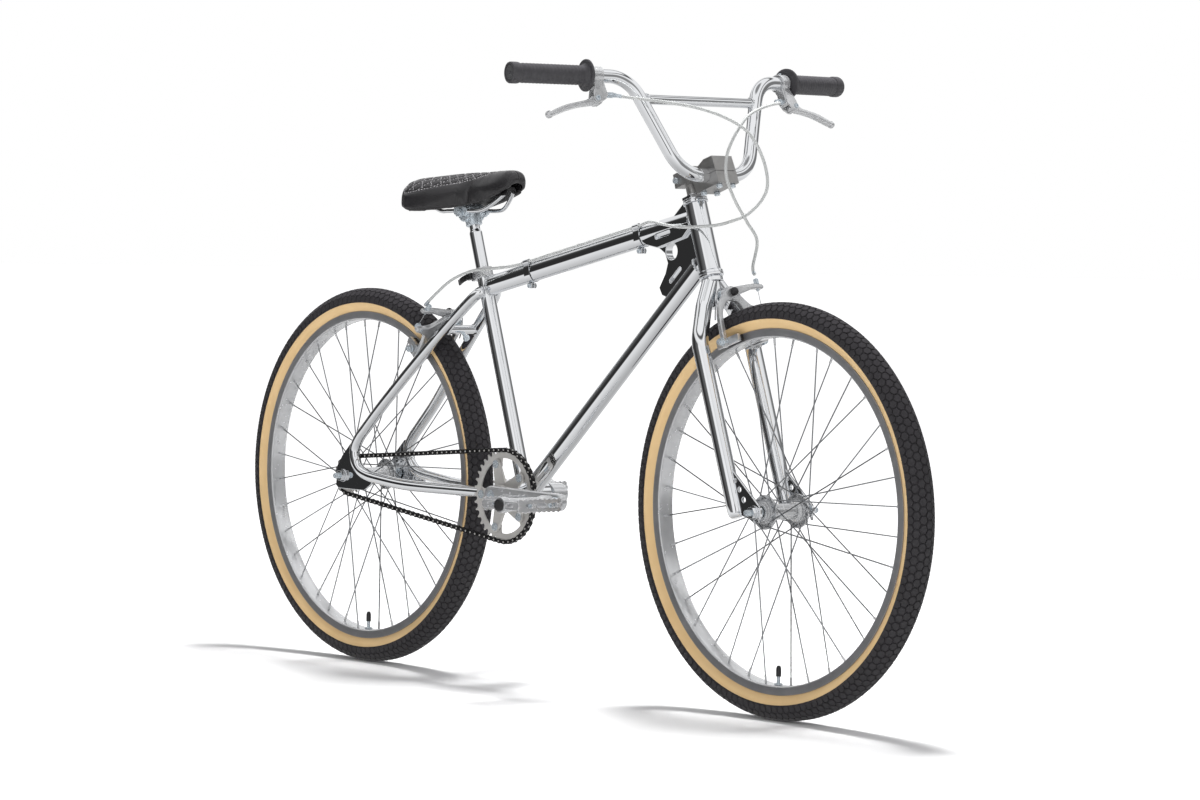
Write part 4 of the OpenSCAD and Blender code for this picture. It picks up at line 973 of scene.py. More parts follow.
class BicycleHandlebar(bpy.types.Operator):
    """Makes the handlebar with its crossbar, the four-bolt stem and the flanged grips"""

    bl_idname = "bicycle.handlebar"
    bl_label = "Handlebar, stem and grips"

    def stem(self):
        """The clamp blocks, with eased edges and a milled step along each side."""
        for node, name in (("stem_block", "cast_stem"), ("stem_cap", "cast_stem_cap")):
            fit(coat(remade(node, 1.1), ALLOY_SATIN), name, "steering", "satin_alloy", node)
        screws = ease(coat(remade("stem_bolts"), ZINC), 0.5)
        fit(screws, "stem_screws", "steering", "chrome", "stem_bolts")

    def grip(self):
        ridge = [(15.5 + 0.25 * math.sin(i * math.pi / 2), 12 + i * 1.6) for i in range(67)]
        profile = [(11.2, 0), (24.6, 0), (25.5, 0.9), (25.5, 3.2), (24.4, 4.2), (19.5, 4.8), (17.6, 6.6),
            (16, 9)] + ridge + [(14.9, 121.5), (14.9, 123.5), (16.2, 124.4), (16.9, 127), (17, 130), (17, 138),
            (16.4, 139.6), (15, 140.2), (13.4, 140), (13, 138.4), (9.4, 138.2), (9, 139.4), (8, 139.4), (7.6, 138.2),
            (3.4, 138.2), (3, 140.6), (2, 141.6), (0, 141.8)]
        return coat(lathe(profile, 56), GRIP)

    def execute(self, context):
        line = rounded([BAR_END, BAR_BEND, BAR_FOOT, *mirrored([BAR_FOOT, BAR_BEND, BAR_END])], [56, 60, 60, 56], 16)
        shaped = tube([line], 11.1, 10)
        cross = bar((55.3, -119, 209.5), (55.3, 119, 209.5), 8, steps=48)
        beads = [place(lathe([(8, -1.4), (9.4, -1), (9.8, 0.6), (9, 1.8), (8, 2)], 40, closed=True),
            along((55.3, s * 110.6, 209.5), (55.3, s * 200, 209.5))) for s in (-1, 1)]
        knurl = [place(lathe([(11.1, 0)] + [(11.25 + 0.12 * (i % 2), i * 0.9) for i in range(15)] + [(11.1, 13.5)],
            48), along((57, s * 23, 84), (57, s * 60, 84))) for s in (-1, 1)]
        fit(place(coat(join(cross, *beads, *knurl, shaped), CHROME), HEAD), "chromed_handlebar", "steering", "chrome",
            "handlebar")
        self.stem()
        way = (BAR_END - BAR_BEND).normalized()
        grip = place(self.grip(), HEAD @ along(BAR_END - way * 139, BAR_END + way * 20))
        fit(join(copied(grip, MIRROR), grip), "flanged_grips", "steering", "grip_rubber", "grips")
        return {"FINISHED"}


class BicycleBrakeLevers(bpy.types.Operator):
    """Makes the brake levers with their clamps, pivots and barrel adjusters"""

    bl_idname = "bicycle.brake_levers"
    bl_label = "Brake levers"

    def bracket(self):
        ring = place(lathe([(11.2, -9), (14.2, -9), (15, -8.2), (15, 8.2), (14.2, 9), (11.2, 9)], 56, closed=True),
            Matrix.Rotation(math.pi / 2, 4, "Y"))
        cheek = [(-6, 12), (7, 12), (15, 34), (15.6, 44), (12, 50), (4, 50), (-6, 44), (-11, 36)]
        cheeks = [place(plate(cheek, 2.8, 0.8), Matrix.Translation((0, s * 7.6 * MM, 0)) @ UPRIGHT) for s in (-1, 1)]
        neck = place(plate([(-9, 10), (9, 10), (11, 22), (6, 27), (-6, 29), (-8, 38), (-12, 37)], 15, 1.4), UPRIGHT)
        lug = place(plate(blade(-14, 0, 5, -19, 0, 4), 12, 1),
            Matrix.Translation((0, 0, -1 * MM)) @ Matrix.Rotation(math.pi / 2, 4, "Y"))
        pivot = [bar((9, -9.6, 43), (9, 9.6, 43), 2.5), bolt((9, -9, 43), (0, -1, 0), 4.2, 2.4),
            bolt((9, 9, 43), (0, 1, 0), 4.2, 2.2, False), bolt((6, 0, -16), (1, 0, 0), 3.2, 3)]
        fluted = [((4.5 if i % 2 else 4.0) * math.cos(math.tau * i / 32),
            (4.5 if i % 2 else 4.0) * math.sin(math.tau * i / 32)) for i in range(32)]
        barrel = place(plate(fluted, 11, 0.4, segments=1),
            Matrix.Translation((-19.5 * MM, 0, 33 * MM)) @ Matrix.Rotation(math.pi / 2, 4, "Y"))
        sleeve = [bar((-30, 0, 33), (-25, 0, 33), 3.6), bar((-14, 0, 33), (-8, 0, 33), 3.2)]
        return join(coat(join(*sleeve, barrel), ZINC), coat(join(*pivot), ZINC),
            coat(join(lug, *cheeks, neck, ring), ALLOY))

    def blade(self):
        """The blade: thick at its pivot, slim along the fingers, with a ball at its tip."""
        top = smooth([(9, 50.5), (24, 52.5), (44, 56), (66, 62.5), (84, 69.5), (97, 74.2)], 5)
        low = smooth([(97, 67), (84, 60.5), (64, 53.2), (44, 48.4), (28, 44.6), (18, 38)], 5)
        back = arc(9, 43, 7.5, -60, -260, 12)
        lever = plate([tuple(p) for p in top + low] + back, 11, 2.4, segments=4)
        knuckle = plate(circle(9, 43, 7.5, 32), 12, 0.8)
        return coat(join(place(knuckle, UPRIGHT), ball((99, 0, 70.5), 6.2), place(lever, UPRIGHT)), ALLOY)

    def execute(self, context):
        bracket = place(self.bracket(), LEVER)
        blade_ = place(self.blade(), LEVER)
        fit(copied(blade_, MIRROR), "cast_lever_left", "lever_left", "polished_alloy", "brake_lever_left")
        fit(blade_, "cast_lever_right", "lever_right", "polished_alloy", "brake_lever_right")
        fit(join(copied(bracket, MIRROR), bracket), "lever_clamps", "steering", "polished_alloy", "lever_brackets")
        return {"FINISHED"}


def smooth2(points, steps=4):
    return [(p.x, p.y) for p in smooth([(*p, 0) for p in points], steps)]


ARM_OVER = smooth2([(-33, -90), (-39.5, -90)], 1) + smooth2([(-40, -86), (-40, -60), (-38, -36), (-30, -16), (-14, 2),
    (-7, 8.6)]) + arc(0, 0, 11, 120, 60, 6) + smooth2([(30, 13), (50, 15), (64, 14)]) + arc(66, 10, 4, 80, -80,
    6) + smooth2([(60, 6), (46, 5.6), (30, 1), (12, -4)]) \
    + arc(0, 0, 11, -40, -110, 6) + smooth2([(-18, -17), (-29, -34), (-31, -58), (-32, -84)])
ARM_UNDER = [(33, -90), (39.5, -90)] + smooth2([(40, -84), (40, -62), (46, -38), (60, -31.5)]) + arc(64, -25, 5, -80,
    80, 6) + smooth2([(58, -19.4), (44, -18), (30, -7), (20, 4)]) + arc(0, 0, 11, 50, 230,
    12) + smooth2([(14, -12), (27, -32), (31, -58), (32, -84)])


class BicycleBrakes(bpy.types.Operator):
    """Makes both side-pull brakes: forged arms, blocks in their holders, bolts, springs and adjusters"""

    bl_idname = "bicycle.brakes"
    bl_label = "Brakes"

    def pad(self, s, lean):
        """A brake block, its holder, and its bolt and nut, turned by lean to lie along the rim."""
        rubber = coat(block((14, min(s * 18, s * 26), -86.5), (62, max(s * 18, s * 26), -75.5), 1.6), BLOCK_RUBBER)
        holder = coat(block((12, min(s * 26, s * 32.5), -87.5), (64, max(s * 26, s * 32.5), -74.5), 1.5), ALLOY)
        shank = coat(bar((38, s * 32, -81), (38, s * 53, -81), 3.2), ZINC)
        nut = coat(bolt((38, s * 44, -81), (0, s, 0), 6, 5, False), ZINC)
        washer = coat(bar((38, s * 42.4, -81), (38, s * 44, -81), 6.6, 0.3), ZINC)
        centre = Matrix.Translation(Vector((38, 0, -81)) * MM)
        return place(join(rubber, shank, nut, washer, holder),
            centre @ Matrix.Rotation(lean, 4, "Y") @ centre.inverted())

    def over_arm(self, lean):
        arm = coat(place(plate(ARM_OVER, 8.5, 2.0, segments=3), Matrix.Translation((35.75 * MM, 0, 0)) @ FACING), ALLOY)
        fluted = [((4.2 if i % 2 else 3.7) * math.cos(math.tau * i / 28),
            (4.2 if i % 2 else 3.7) * math.sin(math.tau * i / 28)) for i in range(28)]
        barrel = coat(place(plate(fluted, 8, 0.4, segments=1), Matrix.Translation((35.8 * MM, 59 * MM, 19 * MM))), ZINC)
        screw = coat(bar((35.8, 59, 3), (35.8, 59, 24), 2.6), ZINC)
        nut = coat(bolt((35.8, 59, 14.4), (0, 0, -1), 5, 0.1, False), ZINC)
        wire = coat(tube([[(35.8, 59, 24), (35.8, 59, -33)]], 0.8, 1), CHROME_SATIN)
        return join(barrel, screw, nut, wire, self.pad(-1, lean), arm)

    def under_arm(self, lean):
        arm = coat(place(plate(ARM_UNDER, 8.5, 2.0, segments=3), Matrix.Translation((26.95 * MM, 0, 0)) @ FACING),
            ALLOY)
        foot = coat(place(plate([(33, -90), (39.5, -90), (39.8, -70), (32, -70)], 9.4, 1.4),
            Matrix.Translation((35 * MM, 0, 0)) @ FACING), ALLOY)
        anchor = [coat(bar((22, 59, -25), (39, 59, -25), 3), ZINC),
            coat(bolt((31, 59, -25), (1, 0, 0), 5.4, 4.2, False), ZINC),
            coat(bar((35.4, 59, -25), (37.2, 59, -25), 6, 0.3), ZINC)]
        return join(*anchor, foot, self.pad(1, lean), arm)

    def bolts(self):
        """The through bolt, its black cap and nut, the spacer and the bent spring."""
        shank = bar((-20, 0, 0), (43, 0, 0), 3)
        nut = bolt((-18, 0, 0), (-1, 0, 0), 6, 6, False)
        spacer = place(lathe([(3, 14.6), (9.4, 14.6), (10, 15.2), (10, 21.9), (9.4, 22.5), (3, 22.5)], 40,
            closed=True), Matrix.Rotation(math.pi / 2, 4, "Y"))
        cap = place(lathe([(0, 41.5), (6.5, 41.5), (6.7, 43), (6.5, 46.4), (5.4, 48.2), (3.2, 49), (0, 49)], 32),
            Matrix.Rotation(math.pi / 2, 4, "Y"))
        spring = tube([smooth([(20, -31, -40), (19, -24, -20), (17, -12, 3), (17, -7, 11), (17, 0, 13), (17, 7, 11),
            (17, 12, 3), (19, 26, -24), (20, 33, -44)], 5)], 1.1, 2)
        return join(coat(cap, PLASTIC), coat(spring, CHROME_SATIN), coat(join(nut, spacer, shank), ZINC))

    def execute(self, context):
        centre = self.bolts()
        for end, stand, body, over_side, under_side, lean in (("front", FRONT_BRAKE, "steering", "right", "left",
            math.radians(1)), ("rear", REAR_BRAKE, "frame", "left", "right", math.radians(6.5))):
            for arm, side, kind in ((self.over_arm(lean), over_side, "over"),
                (self.under_arm(lean), under_side, "under")):
                fit(place(arm, stand), f"{end}_brake_{kind}_arm", f"{end}_caliper_{side}", "polished_alloy",
                    f"{end}_brake_arm_{side}")
            fit(place(copied(centre), stand), f"{end}_brake_centre", body, "chrome", f"{end}_brake_bolt")
        pick(centre)
        bpy.ops.object.delete()
        return {"FINISHED"}


class BicycleCables(bpy.types.Operator):
    """Runs the brake cables from the levers to the brakes, with their end sleeves"""

    bl_idname = "bicycle.cables"
    bl_label = "Brake cables"

    def cable(self, points):
        line = smooth(points, 8)
        cover = coat(tube([line], 2.5, 4), HOUSING)
        sleeves = [coat(tube([[line[i], line[i + 3]]], 3.0, 4), ZINC) for i in (0, len(line) - 5)]
        return join(*sleeves, cover)

    def execute(self, context):
        z = top_tube_z
        rear = self.cable([(317, -171, 972), (342, -152, 968), (368, -112, 963), (396, -66, 954), (424, -30, 938),
            (443, -2, 915), (451, 20, 876), (450, 31, 838),
            (440, 29, 813), (425, 13, 790), (405, -1, 779), (385, -15, 772), (352, -26, 769), (310, -27, 768),
            (262, -18.5, 771.5), (222, -12.5, z(222) + 17.2),
            (187, -9, z(187) + 17.6), (140, -9, z(140) + 17.6), (50, -9, z(50) + 17.6), (-40, -9, z(-40) + 17.6),
            (-90, -9, z(-90) + 17.6), (-130, -11, z(-130) + 18.5),
            (-175, -21, 693), (-215, -32, 688), (-252, -44, 672), (-283, -54, 647), (-304, -58.5, 628.5)])
        rear.name = rear.data.name = "rear_cable_cover"
        pick(rear)
        bpy.ops.object.shade_smooth_by_angle(angle=math.radians(50))
        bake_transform(rear)
        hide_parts("rear_brake_cable")
        above, stop = [HEAD @ (Vector((36, 59, c)) * MM) / MM for c in (-60, -74)]
        front = self.cable([(317, 171, 972), (344, 152, 969), (372, 112, 966), (398, 62, 958), (412, 24, 946),
            (418, 2, 930), (416, -14, 906), (412, -22, 880), (412, -22, 848), (419, -10, 812),
            (424, 12, 778), (418, 40, 748), above, stop])
        fit(front, "front_cable_cover", "steering", "cable_housing", "front_brake_cable", angle=50)
        return {"FINISHED"}


# ---------------------------------------------------------------- drive
CHAIN_Y = -46
PITCH = 12.7
RING_TEETH, COG_TEETH = 38, 16
LINKS = 95
RING_R = PITCH / (2 * math.sin(math.pi / RING_TEETH))
COG_R = PITCH / (2 * math.sin(math.pi / COG_TEETH))
STAY = math.hypot(CRANK.translation.x - REAR_AXLE.translation.x, CRANK.translation.z - REAR_AXLE.translation.z) / MM
FLARE = math.asin((RING_R - COG_R) / STAY)
FALL = math.asin((REAR_AXLE.translation.z - CRANK.translation.z) / MM / STAY)


def chain_pin(u):
    """Where pin u of the chain lies, as (x, z): along the top, round the ring, back below and round the cog."""
    run = STAY * math.cos(FLARE) / PITCH
    wrap = (math.pi + 2 * FLARE) / (math.tau / RING_TEETH)
    if u < run:
        x, z = -COG_R * math.sin(FLARE) + PITCH * u * math.cos(FLARE), COG_R * math.cos(FLARE) + PITCH * u * math.sin(FLARE)
    elif u < run + wrap:
        a = math.pi / 2 + FLARE - (u - run) * math.tau / RING_TEETH
        x, z = STAY + RING_R * math.cos(a), RING_R * math.sin(a)
    elif u < 2 * run + wrap:
        v = PITCH * (u - run - wrap)
        x, z = STAY - RING_R * math.sin(FLARE) - v * math.cos(FLARE), -RING_R * math.cos(FLARE) + v * math.sin(FLARE)
    else:
        a = math.pi * 1.5 - FLARE - (u - 2 * run - wrap) * math.tau / COG_TEETH
        x, z = COG_R * math.cos(a), COG_R * math.sin(a)
    axle = REAR_AXLE.translation / MM
    return axle.x + x * math.cos(FALL) + z * math.sin(FALL), axle.z - x * math.sin(FALL) + z * math.cos(FALL)


class BicycleChain(bpy.types.Operator):
    """Lays the chain link by link round the chainring and the freewheel"""

    bl_idname = "bicycle.chain"
    bl_label = "Chain"

    def link(self, sideways, pin, finish_of_pin):
        shape = arc(0, 0, 4.05, 60, 300, 6) + [(PITCH / 2, -2.9)] + arc(PITCH, 0, 4.05, -120, 120,
            6) + [(PITCH / 2, 2.9)]
        plates = [coat(place(plate(shape, 0.95, 0.2, segments=1),
            Matrix.Translation((0, s * sideways * MM, 0)) @ UPRIGHT), BLACK_STEEL) for s in (-1, 1)]
        pins = [coat(bar((x, -pin[1], 0), (x, pin[1], 0), pin[0], 0.3, 12), finish_of_pin) for x in (0, PITCH)]
        return join(*pins, *plates)

    def half_link(self):
        side = [(-4.05, 1.75), (4.3, 1.75), (8.4, 2.8), (16.7, 2.8), (16.7, 3.75), (8.2, 3.75), (4.1, 2.7),
            (-4.05, 2.7)]
        plates = [coat(plate([(x, s * y) for x, y in side], 8, 0.2, segments=1), BLACK_STEEL) for s in (-1, 1)]
        return join(coat(bar((PITCH, -4.3, 0), (PITCH, 4.3, 0), 1.8, 0.3, 12), ZINC),
            coat(bar((0, -2.2, 0), (0, 2.2, 0), 3.8, 0.3, 12), BLACK_STEEL), *plates)

    def execute(self, context):
        inner, outer = self.link(2.225, (3.8, 2.2), BLACK_STEEL), self.link(3.25, (1.6, 4.3), STAMPED)
        laid = []
        for i in range(LINKS):
            x, z = chain_pin(i)
            x1, z1 = chain_pin((i + 1) % LINKS)
            stand = Matrix.Translation((x * MM, CHAIN_Y * MM, z * MM)) @ Matrix.Rotation(-math.atan2(z1 - z, x1 - x),
                4, "Y")
            laid.append(place(self.half_link(), stand) if i == LINKS - 1 else copied(outer if i % 2 else inner, stand))
        fit(join(*laid), "roller_chain", "frame", "black_steel", "chain")
        for spare in (inner, outer):
            pick(spare)
            bpy.ops.object.delete()
        return {"FINISHED"}


class BicycleCranks(bpy.types.Operator):
    """Makes the chainring, the fluted crank arms with the spider, and their spindle and bolts"""

    bl_idname = "bicycle.cranks"
    bl_label = "Chainring and cranks"

    def arm(self):
        """One arm, lying along +X with its outer face up: a tapered forging with a shallow flute."""
        arm_ = plate(blade(0, 0, 18, 170, 0, 14, 20), 14, 3.2, segments=4)
        flute = place(plate(blade(36, 0, 6.5, 134, 0, 4.5), 6, 1.4), Matrix.Translation((0, 0, 8.4 * MM)))
        eye = place(lathe([(0, 0), (11.2, 0), (11.2, 9), (0, 9)], 40), Matrix.Translation((0, 0, 5.2 * MM)))
        for cutter in (flute, eye):
            modify(arm_, "BOOLEAN", object=cutter, operation="DIFFERENCE", solver="EXACT")
        pick(flute, eye)
        bpy.ops.object.delete()
        cap = place(lathe([(0, 5.6), (4, 5.6), (4.4, 6), (9.6, 6), (10.4, 5.6), (10.6, 4.8), (10.6, 3), (0, 3)], 36),
            Matrix.Identity(4))
        return join(coat(cap, ZINC), coat(arm_, ALLOY))

    def spider(self):
        arms = []
        for turn in (36, 108, 180, 252, 324):
            x, y = 55 * math.cos(math.radians(turn)), 55 * math.sin(math.radians(turn))
            arms.append(place(plate(blade(0, 0, 17, x, y, 8.5), 5.1, 1.3, [circle(x, y, 5, 20)], 3),
                Matrix.Translation((0, -50.05 * MM, 0)) @ UPRIGHT))
        boss = place(lathe([(8.9, 46), (18, 46), (19, 47), (19, 66), (8.9, 66)], 56, closed=True), UPRIGHT)
        return coat(join(*arms, boss), STAMPED)

    def execute(self, context):
        fit(coat(remade("chainring", 0.35), STAMPED), "stamped_chainring", "crankset", "satin_alloy", "chainring",
            angle=30)
        fit(coat(remade("chainring_bolts", 0.5), ZINC), "chainring_screws", "crankset", "chrome", "chainring_bolts")
        arm = self.arm()
        right = join(self.spider(), place(copied(arm), Matrix.Translation((0, -71 * MM, 0)) @ UPRIGHT))
        fit(place(right, CRANK), "fluted_crank_right", "crankset", "polished_alloy", "crank_arm_right")
        boss = coat(place(lathe([(8.9, -46), (18, -46), (19, -47), (19, -66), (8.9, -66)], 56, closed=True), UPRIGHT),
            ALLOY)
        left = place(arm, Matrix.Rotation(math.pi, 4, "Z") @ Matrix.Translation((0, -71 * MM, 0)) @ UPRIGHT)
        fit(place(join(boss, left), CRANK), "fluted_crank_left", "crankset", "polished_alloy", "crank_arm_left")
        fit(coat(remade("crank_spindle", 0.4), ZINC), "crank_axle", "crankset", "chrome", "crank_spindle")
        fit(coat(remade("pedal_axles", 0.4), ZINC), "pedal_spindles", "crankset", "chrome", "pedal_axles")
        fit(coat(remade("freewheel", 0.35), STAMPED), "freewheel_sprocket", "freewheel_cog", "black_steel",
            "freewheel", angle=30)
        return {"FINISHED"}


class BicyclePedals(bpy.types.Operator):
    """Makes the cage pedals: toothed side plates, end plates, barrel and dust cap"""

    bl_idname = "bicycle.pedals"
    bl_label = "Pedals"

    def pedal(self):
        """A right-hand pedal about its own axle, which runs along -Y."""
        teeth = [(-104 - i * 5.0, 11.5 if i % 2 else 9.2) for i in range(19)]
        side = teeth + [(y, -z) for y, z in reversed(teeth)]
        windows = [slotted((y, 0), (y - 12, 0), 4) for y in (-114, -138, -162)]
        plates = [coat(place(plate(side, 4, 0.7, windows), Matrix.Translation((s * 43 * MM, 0, 0)) @ FACING),
            ALLOY) for s in (-1, 1)]
        end = blade(-40, 0, 7, 40, 0, 7)
        cross = [coat(place(plate(end, 5, 0.9, [slotted((18, 0), (30, 0), 3.4), slotted((-30, 0), (-18, 0), 3.4)]),
            Matrix.Translation((0, y * MM, 0)) @ UPRIGHT), ALLOY) for y in (-105.5, -192.5)]
        barrel = coat(place(lathe([(5, 92), (11.6, 92), (13, 93.2), (13, 108), (11.6, 112), (10.6, 118), (10.4, 168),
            (11.6, 180), (13, 184), (13, 195), (12.2, 196), (5, 196)], 44, closed=True), UPRIGHT), ALLOY)
        ribs = [coat(block((min(s * 10, s * 42), y - 3, -4), (max(s * 10, s * 42), y + 3, 4), 1.4),
            ALLOY) for s in (-1, 1) for y in (-128, -170)]
        cap = coat(place(lathe([(0, 194), (10, 194), (10, 199), (9, 200.6), (6.4, 201), (6, 200.2), (0, 200.2)], 32),
            UPRIGHT), PLASTIC)
        screws = [coat(bolt((s * 45, y, 0), (s, 0, 0), 3.6, 2), ZINC) for s in (-1, 1) for y in (-128, -170)]
        return join(cap, *screws, *ribs, barrel, *cross, *plates)

    def execute(self, context):
        pedal = self.pedal()
        reach = Matrix.Translation((170 * MM, 0, 0))
        fit(place(copied(pedal), CRANK @ reach), "cage_pedal_right", "right_pedal", "polished_alloy", "pedal_right")
        fit(place(pedal, CRANK @ Matrix.Rotation(math.pi, 4, "Z") @ reach), "cage_pedal_left", "left_pedal",
            "polished_alloy", "pedal_left")
        return {"FINISHED"}


# ---------------------------------------------------------------- seat
class BicycleSeatPost(bpy.types.Operator):
    """Makes the seat post, its collar with the quick-release lever, the clamp and the rails"""

    bl_idname = "bicycle.seat_post"
    bl_label = "Seat post and clamp"

    def clamp(self):
        at = Matrix.Translation(((seat_at(787).x - 1) * MM, 0, 787 * MM))
        washers = []
        for s in (-1, 1):
            toothed = [((15.4 - 0.9 * (i % 2)) * math.cos(math.tau * i / 60),
                (15.4 - 0.9 * (i % 2)) * math.sin(math.tau * i / 60)) for i in range(60)]
            washers += [place(plate(toothed, 5, 0.7), Matrix.Translation((0, s * 15.5 * MM, 0)) @ UPRIGHT),
                place(plate(blade(-10, 3, 8, 10, 3, 8), 7, 1.2), Matrix.Translation((0, s * 22.5 * MM, 0)) @ UPRIGHT)]
            washers += [bolt((0, s * 26, 0), (0, s, 0), 8, 4.2, False), bar((0, s * 26, 0), (0, s * 32, 0), 3.6)]
        drum = place(lathe([(0, -13.5), (14.4, -13.5), (15, -13), (15, -5), (13.8, -4), (13.8, 4), (15, 5), (15, 13),
            (14.4, 13.5), (0, 13.5)], 48), UPRIGHT)
        socket = place(lathe([(9.1, 0), (13.4, 0), (14, 0.6), (14, 19), (13, 20), (9.1, 20)], 48, closed=True),
            along(seat_at(766), seat_at(776)))
        return coat(join(socket, place(join(*washers, drum), at)), ZINC)

    def execute(self, context):
        rise = math.sqrt(1 + 1 / SEAT_SLOPE ** 2)
        fat, full = 197 * rise, 240 * rise
        post = lathe([(0, 0), (10.6, 0), (11.05, 0.5), (11.05, fat - 5), (10.7, fat - 3), (9.3, fat), (9, fat + 1.5),
            (9, full - 0.5), (8.5, full), (0, full)], 72)
        fit(place(coat(post, CHROME), along(seat_at(560), seat_at(776))), "chromed_seat_post", "seat", "chrome",
            "seat_post")
        fit(self.clamp(), "serrated_seat_clamp", "seat", "satin_alloy", "seat_clamp")
        line = smooth([(-352, 30, 815), (-340, 28, 806), (-322, 23.5, 794), (-306, 22, 789), (-290, 22, 789.3),
            (-250, 22, 790), (-210, 22, 790.5), (-192, 20.5, 794), (-172, 15, 806), (-152, 8, 822)], 6)
        fit(coat(tube([line, mirrored(line)], 3.5, 4), CHROME), "saddle_wires", "seat", "chrome", "saddle_rails")
        fit(coat(remade("seat_collar", 0.8), ALLOY), "seat_tube_collar", "frame", "polished_alloy", "seat_collar")
        curve = smooth2([(3, -4.4), (-12, -3.6), (-25, -1), (-34, 3)], 5) + arc(-35.2, 5.4, 2.3, -60, -240,
            6) + smooth2([(-34, 7), (-24, 3), (-12, 0.6), (2, 0.4)], 5)
        lever = place(plate(curve, 10, 1.2), Matrix.Translation((0, 0, 6 * MM)))
        barrel = lathe([(0, 0), (4.4, 0), (5, 0.6), (5, 11.4), (4.4, 12), (0, 12)], 32)
        fit(place(coat(join(lever, barrel), BLACK_PAINT), SEAT @ Matrix.Translation((-17.5 * MM, -17 * MM, 2 * MM))),
            "curved_release_lever", "seat_lever", "polished_alloy", "seat_qr_lever")
        return {"FINISHED"}


def puff(obj, cap):
    """Blows a closed mesh up a little as stretched cloth, no point moving further than cap mm."""
    start = [v.co.copy() for v in obj.data.vertices]
    pick(obj)
    cloth = obj.modifiers.new("Cloth", "CLOTH")
    cloth.settings.use_pressure = True
    cloth.settings.uniform_pressure_force = 4
    cloth.settings.effector_weights.gravity = 0
    for step in range(1, 21):
        bpy.context.scene.frame_set(step)
    bpy.ops.object.modifier_apply(modifier=cloth.name)
    bpy.context.scene.frame_set(1)
    for v, at in zip(obj.data.vertices, start):
        move = v.co - at
        v.co = at + move * min(1, cap * MM / max(move.length, 1e-9))


def saddle_rise(x):
    """Height of the middle of the saddle's sides at x, which its cross-section is measured round."""
    return 806 + 26 * max(0, (x + 376) / 250) ** 2


def panel_reach(x):
    """How far the quilted panel comes down from the ridge at x: deep and round at the tail, narrowing to the nose."""
    tail = min(1, max(0, (x + 372) / 24))
    return 82 * (1 - min(1, max(0, x + 376) / 200) ** 2.2) * math.sqrt(1 - (1 - tail) ** 2)


GIRTH = 58  # mm round the saddle for each radian


def down(x, y, z):
    """How far round from the ridge a point of the saddle lies."""
    return (math.pi / 2 - math.atan2(z - saddle_rise(x), abs(y))) * GIRTH


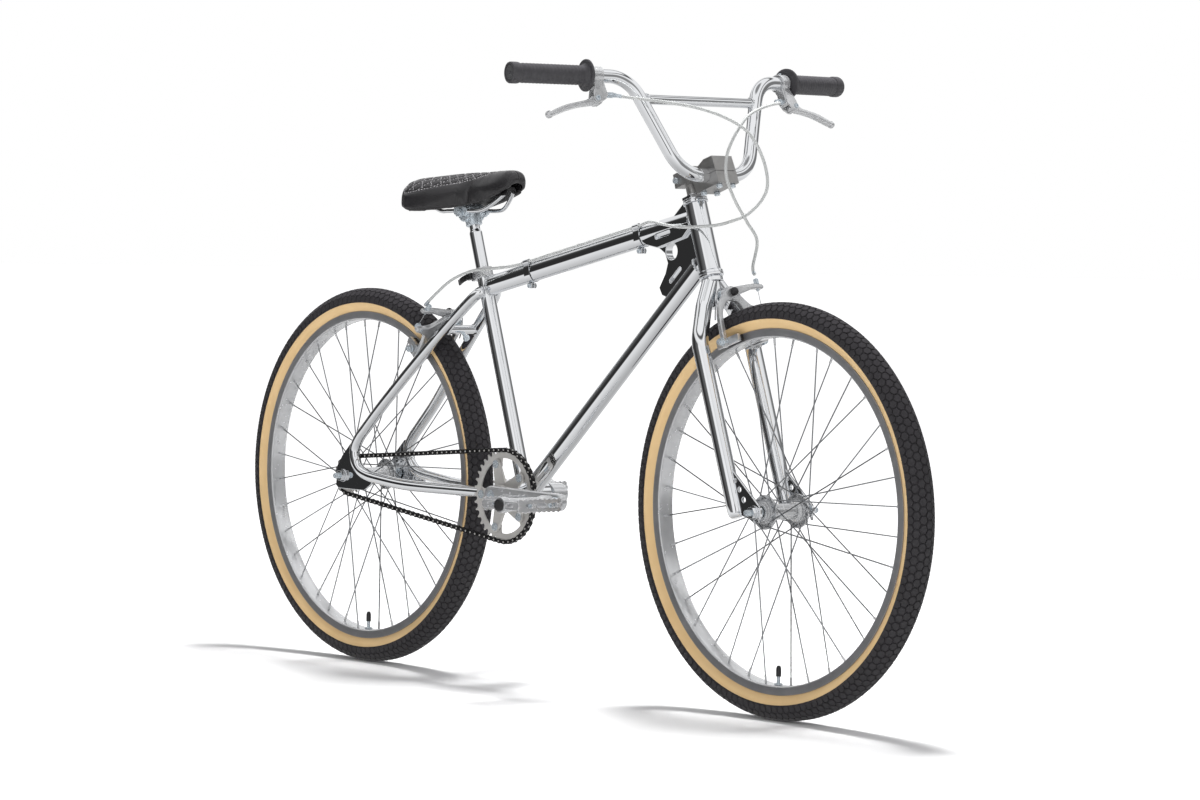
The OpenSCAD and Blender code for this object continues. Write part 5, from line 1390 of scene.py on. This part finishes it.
class BicycleSaddle(bpy.types.Operator):
    """Makes the padded saddle: a stretched vinyl cover with a quilted top panel, its stitching and its shell"""

    bl_idname = "bicycle.saddle"
    bl_label = "Saddle"

    def dome(self, cover):
        """Rounds the top edges over and lifts the foot of the tail."""
        for v in cover.data.vertices:
            tail = max(0, -318 - v.co.x / MM) / 58
            v.co.z += 15 * MM * tail**2 * max(0, 1 - (v.co.z / MM - 784) / 60)
            lift = max(0, v.co.z / MM - saddle_rise(v.co.x / MM)) / 42
            v.co.y *= 1 - 0.2 * min(1, lift) ** 2

    def quilt(self, cover, pitch):
        """Presses the sewn lines of the panel into the pad."""
        for v in cover.data.vertices:
            x, y, z = v.co / MM
            round_ = down(x, y, z)
            edge = panel_reach(x) - round_
            if edge < -5 or v.normal.z < -0.3 or v.normal.y * y < -0.02:
                continue
            sink = 1.3 * math.exp(-((edge / 2.2) ** 2))
            if edge > 0:
                turns = [(x + s * 0.9 * round_) / pitch for s in (-1, 1)]
                sink = max(sink, *(1.7 * math.exp(-(((t - round(t)) * pitch / 2.6) ** 2)) for t in turns))
            v.co -= v.normal * sink * MM

    def on_cover(self, tree, x, round_):
        """The point of the cover at x and so far round from the ridge, a little proud; negative is the right side."""
        angle = math.pi / 2 - abs(round_) / GIRTH
        way = Vector((0, math.copysign(math.cos(angle), round_), math.sin(angle)))
        foot = Vector((x, 0, saddle_rise(x))) * MM
        at = tree.ray_cast(foot + way * 0.15, -way)[0]
        return (at + way * 0.25 * MM) / MM if at else None

    def stitches(self, tree, sizes):
        """Runs of short threads: one round the panel's edge and one along each quilted line."""
        edge = [(x, panel_reach(x)) for x in range(-371, -170)]
        runs = [[(x, s * r) for x, r in edge] for s in (-1, 1)]
        for side in (-1, 1):
            for s in (-1, 1):
                for k in range(-30, 4):
                    runs.append([(sizes.quilt_pitch * k - s * 0.9 * r, side * r) for r in range(80)])
        threads = []
        for n, run in enumerate(runs):
            travelled, line = 0.0, []
            for (x, r), (x1, r1) in zip(run, run[1:]):
                travelled += math.hypot(x1 - x, r1 - r)
                inside = -371 < x < -171 and (n < 2 or abs(r) < panel_reach(x) - 1)
                spot = self.on_cover(tree, x,
                    r) if inside and travelled % (sizes.stitch_length + 1.6) < sizes.stitch_length else None
                if spot:
                    line.append(spot)
                elif line:
                    if len(line) > 1:
                        threads.append(line)
                    line = []
        return coat(tube(threads, 0.75, 0), THREAD)

    def piping(self, tree):
        """The rolled edge along the foot of the cover."""
        lines = []
        for s in (-1, 1):
            line = []
            for x in range(-366, -129, 6):
                t = (x + 376) / 250
                z = 784 + 10 * t + 34 * t ** 3 + 4
                at = tree.ray_cast(Vector((x * MM, s * 0.2, z * MM)), Vector((0, -s, 0)))[0]
                if at and abs(at.y) > 0.008:
                    line.append(at / MM)
            lines.append(line)
        return coat(tube(lines, 1.5, 2), VINYL)

    def execute(self, context):
        sizes = context.scene.bicycle_saddle
        cover = remade("saddle_cover")
        modify(cover, "REMESH", mode="VOXEL", voxel_size=2.5 * MM)
        self.dome(cover)
        modify(cover, "SMOOTH", factor=0.5, iterations=8)
        puff(cover, 5)
        modify(cover, "SMOOTH", factor=0.5, iterations=3)
        modify(cover, "SUBSURF", levels=1, render_levels=1)
        self.quilt(cover, sizes.quilt_pitch)
        tree = BVHTree.FromObject(cover, context.evaluated_depsgraph_get())
        threads, edge = self.stitches(tree, sizes), self.piping(tree)
        fit(coat(cover, VINYL), "padded_saddle_cover", "seat", "saddle_vinyl", "saddle_cover", angle=80)
        fit(threads, "saddle_stitching", "seat", "saddle_vinyl")
        fit(edge, "saddle_piping", "seat", "saddle_vinyl")
        fit(coat(remade("saddle_base"), PLASTIC), "moulded_saddle_shell", "seat", "saddle_shell", "saddle_base",
            angle=50)
        return {"FINISHED"}


MAKERS = (
    BicycleStage, BicycleTyres, BicycleRims, BicycleSpokes, BicycleHubs, BicycleFrameTubes, BicycleFrameFittings,
    BicycleFork, BicycleHandlebar,
    BicycleBrakeLevers, BicycleBrakes, BicycleCables, BicycleChain, BicycleCranks, BicyclePedals, BicycleSeatPost,
    BicycleSaddle,
)


# ---------------------------------------------------------------- add-on
SETTINGS = {"bicycle_tyres": BicycleTyreSizes, "bicycle_saddle": BicycleSaddleSizes,
    "bicycle_stage": BicycleStageSettings}


class BicyclePanel(bpy.types.Panel):
    """Lists the steps that build the bicycle"""

    bl_idname = "VIEW3D_PT_bicycle"
    bl_label = "Bicycle"
    bl_space_type = "VIEW_3D"
    bl_region_type = "UI"
    bl_category = "Bicycle"

    def draw(self, context):
        for name, group in SETTINGS.items():
            box = self.layout.box()
            for prop in group.__annotations__:
                box.prop(getattr(context.scene, name), prop)
        for maker in MAKERS:
            self.layout.operator(maker.bl_idname)


def register():
    for kind in (*SETTINGS.values(), *MAKERS, BicyclePanel):
        bpy.utils.register_class(kind)
    for name, group in SETTINGS.items():
        setattr(bpy.types.Scene, name, bpy.props.PointerProperty(type=group))


def unregister():
    for name in SETTINGS:
        delattr(bpy.types.Scene, name)
    for kind in reversed((*SETTINGS.values(), *MAKERS, BicyclePanel)):
        bpy.utils.unregister_class(kind)


def main():
    register()
    for maker in MAKERS:
        group, name = maker.bl_idname.split(".")
        getattr(getattr(bpy.ops, group), name)()


if __name__ == "__main__":
    main()
